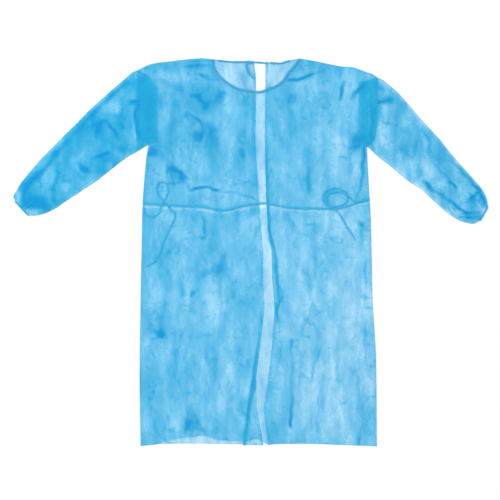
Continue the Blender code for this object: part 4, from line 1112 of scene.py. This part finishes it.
def make_cuff(name, node, cuts, finish, seed):
    """The gathered end of a sleeve: the elastic's channel, and the frill past it."""
    trim = bpy.context.scene.gown_trim
    last, before = np.array(cuts[-1][:4]), np.array(cuts[-2][:4])
    lean = last - before
    lean = lean + np.tile(lean[:2] + lean[2:], 2)
    unit = np.concatenate([lean[:2] / math.hypot(*lean[:2]), lean[2:] / math.hypot(*lean[2:])])
    rings = []
    centre = np.tile((last[:2] + last[2:]) / 2, 2)
    for past in (0.0002, 0.0008, 0.0015, 0.0022, 0.0029, 0.0036, 0.0044):
        narrowed = blend(last, centre, 3000 * past ** 2)
        rings.append(Cut(*(narrowed + unit * past), *cuts[-1][4:]))
    shape = sleeve_shape(rings, np.arange(len(rings)), CUFF_POINTS, trim.pleats, seed)
    across, height, base, crown, _, share, rounding, wave = shape
    pinch = np.array((0.75, 0.35, 0.30, 0.45, 0.75, 1.0, 1.1))[:, None]
    top = base + 0.0018 + crown * (1 - share ** 2) ** 0.7 * pinch + 0.0018 * wave * pinch
    under = base + 0.0004 + 0.0004 * wave * pinch
    middle = base + 0.0010
    top_z, under_z = blend(middle, top, rounding), blend(middle, under, rounding)
    sewn = np.array((0.2, 0.9, 1.0, 0.6, 0.1, -0.4, -0.6))[:, None]
    # Deeper along the elastic's channel and paler on the frill; painted shade in the troughs between
    # pleats, paler on their crests.
    shade = sewn + 0.7 - 1.2 * wave
    outline = np.clip(1 - (1 - np.abs(share)) / 0.05, 0, 1)
    sides = ((across, across), (height, height), (top_z, under_z), (shade, shade),
             (outline, outline))
    return tube_piece(name, node, sides, finish, cuts)


def smooth_line(rows, step):
    """Places a step apart on a smooth curve through a strip's rows, as an array."""
    rows = np.array(rows, float)
    reach = np.concatenate([[0], np.cumsum(np.hypot(*np.diff(rows, axis=0).T))])
    table = np.column_stack([reach, rows])
    places = np.linspace(0, reach[-1], round(reach[-1] / step) + 1)
    return np.column_stack([smooth(table, places, 1), smooth(table, places, 2)])


def sides_of(line):
    """The unit vectors to the left of a line, at each of its points."""
    run = np.gradient(line, axis=0)
    run /= np.hypot(*run.T)[:, None]
    return np.column_stack([-run[:, 1], run[:, 0]])


def resting(line, width, trees, layer, step):
    """How high a strip's points lie: clear of what is under it and of its own earlier turns."""
    side = sides_of(line)
    under = np.stack([heights_under(trees, *(line + side * width * b / 2).T) for b in (-1, 0, 1)])
    wanted = under.max(axis=0) + 0.0002
    apart = round(3 * width / step)
    for k in range(len(line)):
        earlier = line[:max(k - apart, 0)]
        if len(earlier):
            close = np.hypot(*(earlier - line[k]).T) < width * 1.3
            if close.any():
                wanted[k] = max(wanted[k], wanted[:len(earlier)][close].max() + layer)
    for order in (range(1, len(line)), range(len(line) - 2, -1, -1)):
        for k in order:
            other = k - 1 if order.step > 0 else k + 1
            wanted[k] = max(wanted[k], wanted[other] - STRIP_SLOPE * step)
    for _ in range(6):
        wanted[1:-1] = np.maximum(wanted[1:-1], (wanted[:-2] + wanted[2:]) / 2)
    return wanted


def folded_strip(name, rows, width, under, finish, seed=1.0, thick=0.0007):
    """A strip folded once along its length, lying along a line on top of what is under it."""
    line = smooth_line(rows, STRIP_STEP)
    low = resting(line, width, surfaces_of(*under), thick + 0.0003, STRIP_STEP)
    side = sides_of(line)
    reach = np.arange(len(line)) * STRIP_STEP
    lean = 0.12 * np.sin(reach * 95 + seed) + 0.08 * np.sin(reach * 210 + 2 * seed)
    wide = width * (1 + 0.10 * np.sin(reach * 130 + seed))
    points, shade = [], []
    for beside, up in STRIP_SECTION:
        place = line + side * (beside * wide)[:, None]
        z = low + thick * up * (1 + lean * beside * 2)
        points.append(points_of(place[:, 0], place[:, 1], z))
        shade.append(np.full(len(line), 0.9 * abs(beside) * 2 - 0.4) + lean)
    points, shade = np.stack(points, axis=1), np.stack(shade, axis=1)
    made = cloth_piece(name, points, finish, {"shade": shade}, flip=True)
    return made, line, low + thick


def make_front_binding(finish):
    """The strip round the front neckline: over the cloth, round its edge and under it."""
    trim = bpy.context.scene.gown_trim
    line = smooth_line(FRONT_NECK, BINDING_STEP)
    out = sides_of(line)
    width = trim.binding_width
    onto = line - out * width
    trees = surfaces_of("front")
    tops = [heights_under(trees, *blend(line, onto, s).T) for s in (0.1, 0.5, 1.0)]
    tops = softened(np.stack(tops).max(axis=0)[None, :], 6)[0]
    lows = softened(heights_under(trees, *line.T)[None, :], 6)[0] - 0.0006
    ripple = 0.00015 * np.sin(np.arange(len(line)) * 1.1)
    section = (
        (-1.0, 0, 0.00005), (-0.96, 0, 0.0005), (-0.6, 0, 0.0007), (-0.2, 0, 0.0006),
        (0.10, 0, 0.0003), (0.20, 1, 0.0004), (0.10, 1, -0.0001), (-0.4, 1, -0.0004),
        (-1.0, 1, -0.0004),
    )
    points, shade = [], []
    for beside, below, up in section:
        place = line + out * (beside * width)
        z = (lows if below else tops) + up + ripple * (1 + beside)
        points.append(points_of(place[:, 0], place[:, 1], z))
        shade.append(np.full(len(line), 0.5 if beside > -0.3 else 0.1 - 0.5 * (beside < -0.9)))
    made = cloth_piece("neck_binding", np.stack(points, axis=1), finish,
                       {"shade": np.stack(shade, axis=1)})
    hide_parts("neck_binding_front")
    seam = line - out * width * 0.62
    return made, seam, tops + 0.0008


def stitches(name, runs, finish):
    """Rows of stitches: each a short spindle of thread along its seam. Runs are (line, tops)."""
    trim = bpy.context.scene.gown_trim
    corners, faces = [], []
    for line, tops in runs:
        line = np.column_stack([line, tops])
        reach = np.concatenate([[0], np.cumsum(np.linalg.norm(np.diff(line, axis=0), axis=1))])
        last_middle = reach[-1] - trim.stitch_pitch / 2
        for middle in np.arange(trim.stitch_pitch, last_middle, trim.stitch_pitch):
            start, centre, end = [
                np.array([np.interp(middle + trim.stitch * share, reach, column) for column in line.T])
                for share in (-0.5, 0, 0.5)
            ]
            run = end - start
            run /= np.linalg.norm(run)
            side = np.array((-run[1], run[0], 0.0))
            up = np.cross(run, side)
            first = len(corners)
            for along, thick, rise in STITCH_PROFILE:
                middle_of_ring = centre + run * along * trim.stitch + up * rise * trim.thread_width / 2
                radius = thick * trim.thread_width / 2
                for k in range(STITCH_SIDES):
                    angle = 2 * math.pi * k / STITCH_SIDES
                    turned = side * math.cos(angle) + up * math.sin(angle)
                    corners.append(middle_of_ring + turned * radius)
            for low in range(first, len(corners) - STITCH_SIDES, STITCH_SIDES):
                for k in range(STITCH_SIDES):
                    a, b = low + k, low + (k + 1) % STITCH_SIDES
                    faces.append((a, b, b + STITCH_SIDES, a + STITCH_SIDES))
            faces.append(tuple(range(first + STITCH_SIDES - 1, first - 1, -1)))
            faces.append(tuple(range(len(corners) - STITCH_SIDES, len(corners))))
    places = np.array(corners)
    places[:, 1] -= GOWN_LENGTH / 2
    made = add_mesh(name, places, faces, finish)
    made.data.shade_smooth()
    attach(made, "root")


def on_front(places):
    """A line through places on the front, and its height just above it."""
    line = smooth_line(places, SEAM_STEP)
    return line, heights_under(surfaces_of("front"), *line.T) + 0.0003


class GOWN_OT_stage(bpy.types.Operator):
    """Makes the floor, the lights and the camera"""

    bl_idname = "gown.make_stage"
    bl_label = "Stage"

    def execute(self, context):
        stage = context.scene.gown_stage
        half = stage.floor_size / 2
        corners = [(x * half, y * half, FLOOR_HEIGHT) for x, y in ((-1, -1), (1, -1), (1, 1), (-1, 1))]
        finish = floor_finish("plain_floor", stage.floor_tone)
        floor = add_mesh("floor", np.array(corners), [(0, 1, 2, 3)], finish)
        lens = bpy.data.cameras.new("camera")
        lens.lens = stage.lens
        lens.sensor_width = 36.0
        lens.clip_end = 100.0
        camera = bpy.data.objects.new("camera", lens)
        camera.location = (-0.0042, 0.0068, stage.view_width * stage.lens / lens.sensor_width)
        context.scene.collection.objects.link(camera)
        context.scene.camera = camera
        sky = bpy.data.worlds.new("soft_sky")
        sky.use_nodes = True
        soft = sky.node_tree.nodes["Background"]
        soft.inputs["Color"].default_value = four((1.0, 1.0, 1.0))
        soft.inputs["Strength"].default_value = stage.sky
        context.scene.world = sky
        light = bpy.data.lights.new("key", "AREA")
        light.energy = stage.key
        light.shape = "SQUARE"
        light.size = 3.6
        key = bpy.data.objects.new("key", light)
        key.location = (-4.8, 3.8, 7.5)
        key.rotation_euler = (-Vector(key.location)).to_track_quat("-Z", "Y").to_euler()
        context.scene.collection.objects.link(key)
        context.scene.view_settings.view_transform = "Standard"
        return {"FINISHED"}


class GOWN_OT_backs(bpy.types.Operator):
    """Makes both back panels, with their turned edges beside the opening"""

    bl_idname = "gown.make_backs"
    bl_label = "Back panels"

    def execute(self, context):
        finish = nonwoven("back_nonwoven", 31.0)
        for name, node, way, flat, area in (
            ("back_left", "back_panel_left", 1, (0.381, 1.150), 0.413),
            ("back_right", "back_panel_right", -1, (0.345, 1.149), 0.365),
        ):
            back = make_back(name, node, way, finish)
        return {"FINISHED"}


class GOWN_OT_sleeves(bpy.types.Operator):
    """Makes both sleeves and their gathered cuffs"""

    bl_idname = "gown.make_sleeves"
    bl_label = "Sleeves and cuffs"

    def execute(self, context):
        finish = nonwoven("left_sleeve_nonwoven", 51.0, 1.15)
        left = make_sleeve("sleeve_cloth_left", "sleeve_left", LEFT_SLEEVE, LEFT_SLEEVE_CREASES,
                           LEFT_SLEEVE_PATCHES, finish, seed=5.0, deeper=0.38, end=2.0)
        finish = nonwoven("right_sleeve_nonwoven", 71.0)
        right = make_sleeve("sleeve_cloth_right", "sleeve_right", RIGHT_SLEEVE, RIGHT_SLEEVE_CREASES,
                            RIGHT_SLEEVE_PATCHES, finish, seed=8.0, deeper=-0.10, end=1.8)
        cuff = nonwoven("gathered_nonwoven", 91.0, 1.5)
        for name, node, cuts, seed in (
            ("cuff_left", "cuff_elastic_left", LEFT_SLEEVE, 5.0),
            ("cuff_right", "cuff_elastic_right", RIGHT_SLEEVE, 8.0),
        ):
            made = make_cuff(name, node, cuts, cuff, seed)
        return {"FINISHED"}


class GOWN_OT_front(bpy.types.Operator):
    """Makes the front panel"""

    bl_idname = "gown.make_front"
    bl_label = "Front panel"

    def execute(self, context):
        front = make_front()
        return {"FINISHED"}


class GOWN_OT_trim(bpy.types.Operator):
    """Makes the neck bindings, the belt and the ties, and sews them"""

    bl_idname = "gown.make_trim"
    bl_label = "Bindings, belt and ties"

    def execute(self, context):
        trim = context.scene.gown_trim
        binding = strip_cloth("bound_edge", trim.binding, 3.0, 0.85)
        strip = strip_cloth("tie_strip", trim.strip, 7.0, 0.80)
        thread = thread_finish("sewing_thread", trim.thread)
        neck, neck_seam, neck_tops = make_front_binding(binding)
        runs = [(neck_seam, neck_tops)]
        for name, node, span, back in (
            ("neck_binding_left", "neck_binding_back_left", LEFT_BACK_BINDING, "back_left"),
            ("neck_binding_right", "neck_binding_back_right", RIGHT_BACK_BINDING, "back_right"),
        ):
            across = np.linspace(*span, 6)
            rows = np.column_stack([across, straight(BACK_NECK, across) - trim.binding_width / 2])
            made, line, tops = folded_strip(name, rows, trim.binding_width, [back], binding,
                                            thick=0.0005)
            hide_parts(node)
            runs.append((line, tops + 0.0002))
        belt, line, tops = folded_strip("belt", BELT_LINE, trim.belt_width, ["front"], strip,
                                        seed=2.0)
        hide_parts("waist_belt")
        runs.append((line, tops + 0.0002))
        stitches("trim_stitches", runs, thread)
        under_neck = ["back_left", "back_right", "neck_binding_left", "neck_binding_right"]
        for name, node, rows, under, finish, slot_name in (
            ("tie_left", "waist_tie_left", LEFT_TIE_LINE, ["front", "belt"], strip, "tie_cloth"),
            ("tie_right", "waist_tie_right", RIGHT_TIE_LINE, ["front", "belt"], strip, "tie_cloth"),
            ("tie_neck", "neck_tie", NECK_TIE_LINE, under_neck, binding, "binding"),
        ):
            made, line, tops = folded_strip(name, rows, trim.tie_width, under, finish,
                                            seed=4.0)
            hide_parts(node)
        return {"FINISHED"}


class GOWN_OT_seams(bpy.types.Operator):
    """Sews the armholes and the left side"""

    bl_idname = "gown.make_seams"
    bl_label = "Seams"

    def execute(self, context):
        thread = thread_finish("seam_thread", context.scene.gown_trim.thread)
        inset = 0.004
        runs = []
        for rows, way in ((LEFT_ARMHOLE, 1), (RIGHT_ARMHOLE, -1)):
            runs.append(on_front([(row.across + way * inset, row.height - 0.003) for row in rows[1:]]))
        runs.append(on_front([(row.across + inset, row.height + 0.004) for row in LEFT_SIDE[:-1]]))
        stitches("seam_stitches", runs, thread)
        return {"FINISHED"}


class GOWN_PT_panel(bpy.types.Panel):
    """Lists the gown's pieces in the 3D view's sidebar"""

    bl_label = "Visitor gown"
    bl_space_type = "VIEW_3D"
    bl_region_type = "UI"
    bl_category = "Gown"

    def draw(self, context):
        scene = context.scene
        for operator in OPERATORS:
            self.layout.operator(operator.bl_idname)
        for group in (scene.gown_cloth, scene.gown_trim, scene.gown_stage):
            for name in group.__annotations__:
                self.layout.prop(group, name)


GROUPS = {"gown_cloth": GownCloth, "gown_trim": GownTrim, "gown_stage": GownStage}
OPERATORS = (GOWN_OT_stage, GOWN_OT_backs, GOWN_OT_sleeves, GOWN_OT_front, GOWN_OT_trim, GOWN_OT_seams)


def register():
    for name, group in GROUPS.items():
        bpy.utils.register_class(group)
        setattr(bpy.types.Scene, name, PointerProperty(type=group))
    for operator in (*OPERATORS, GOWN_PT_panel):
        bpy.utils.register_class(operator)


def unregister():
    for operator in reversed((*OPERATORS, GOWN_PT_panel)):
        bpy.utils.unregister_class(operator)
    for name, group in GROUPS.items():
        delattr(bpy.types.Scene, name)
        bpy.utils.unregister_class(group)


def main():
    register()
    bpy.ops.gown.make_stage()
    bpy.ops.gown.make_backs()
    bpy.ops.gown.make_sleeves()
    bpy.ops.gown.make_front()
    bpy.ops.gown.make_trim()
    bpy.ops.gown.make_seams()


if __name__ == "__main__":
    main()
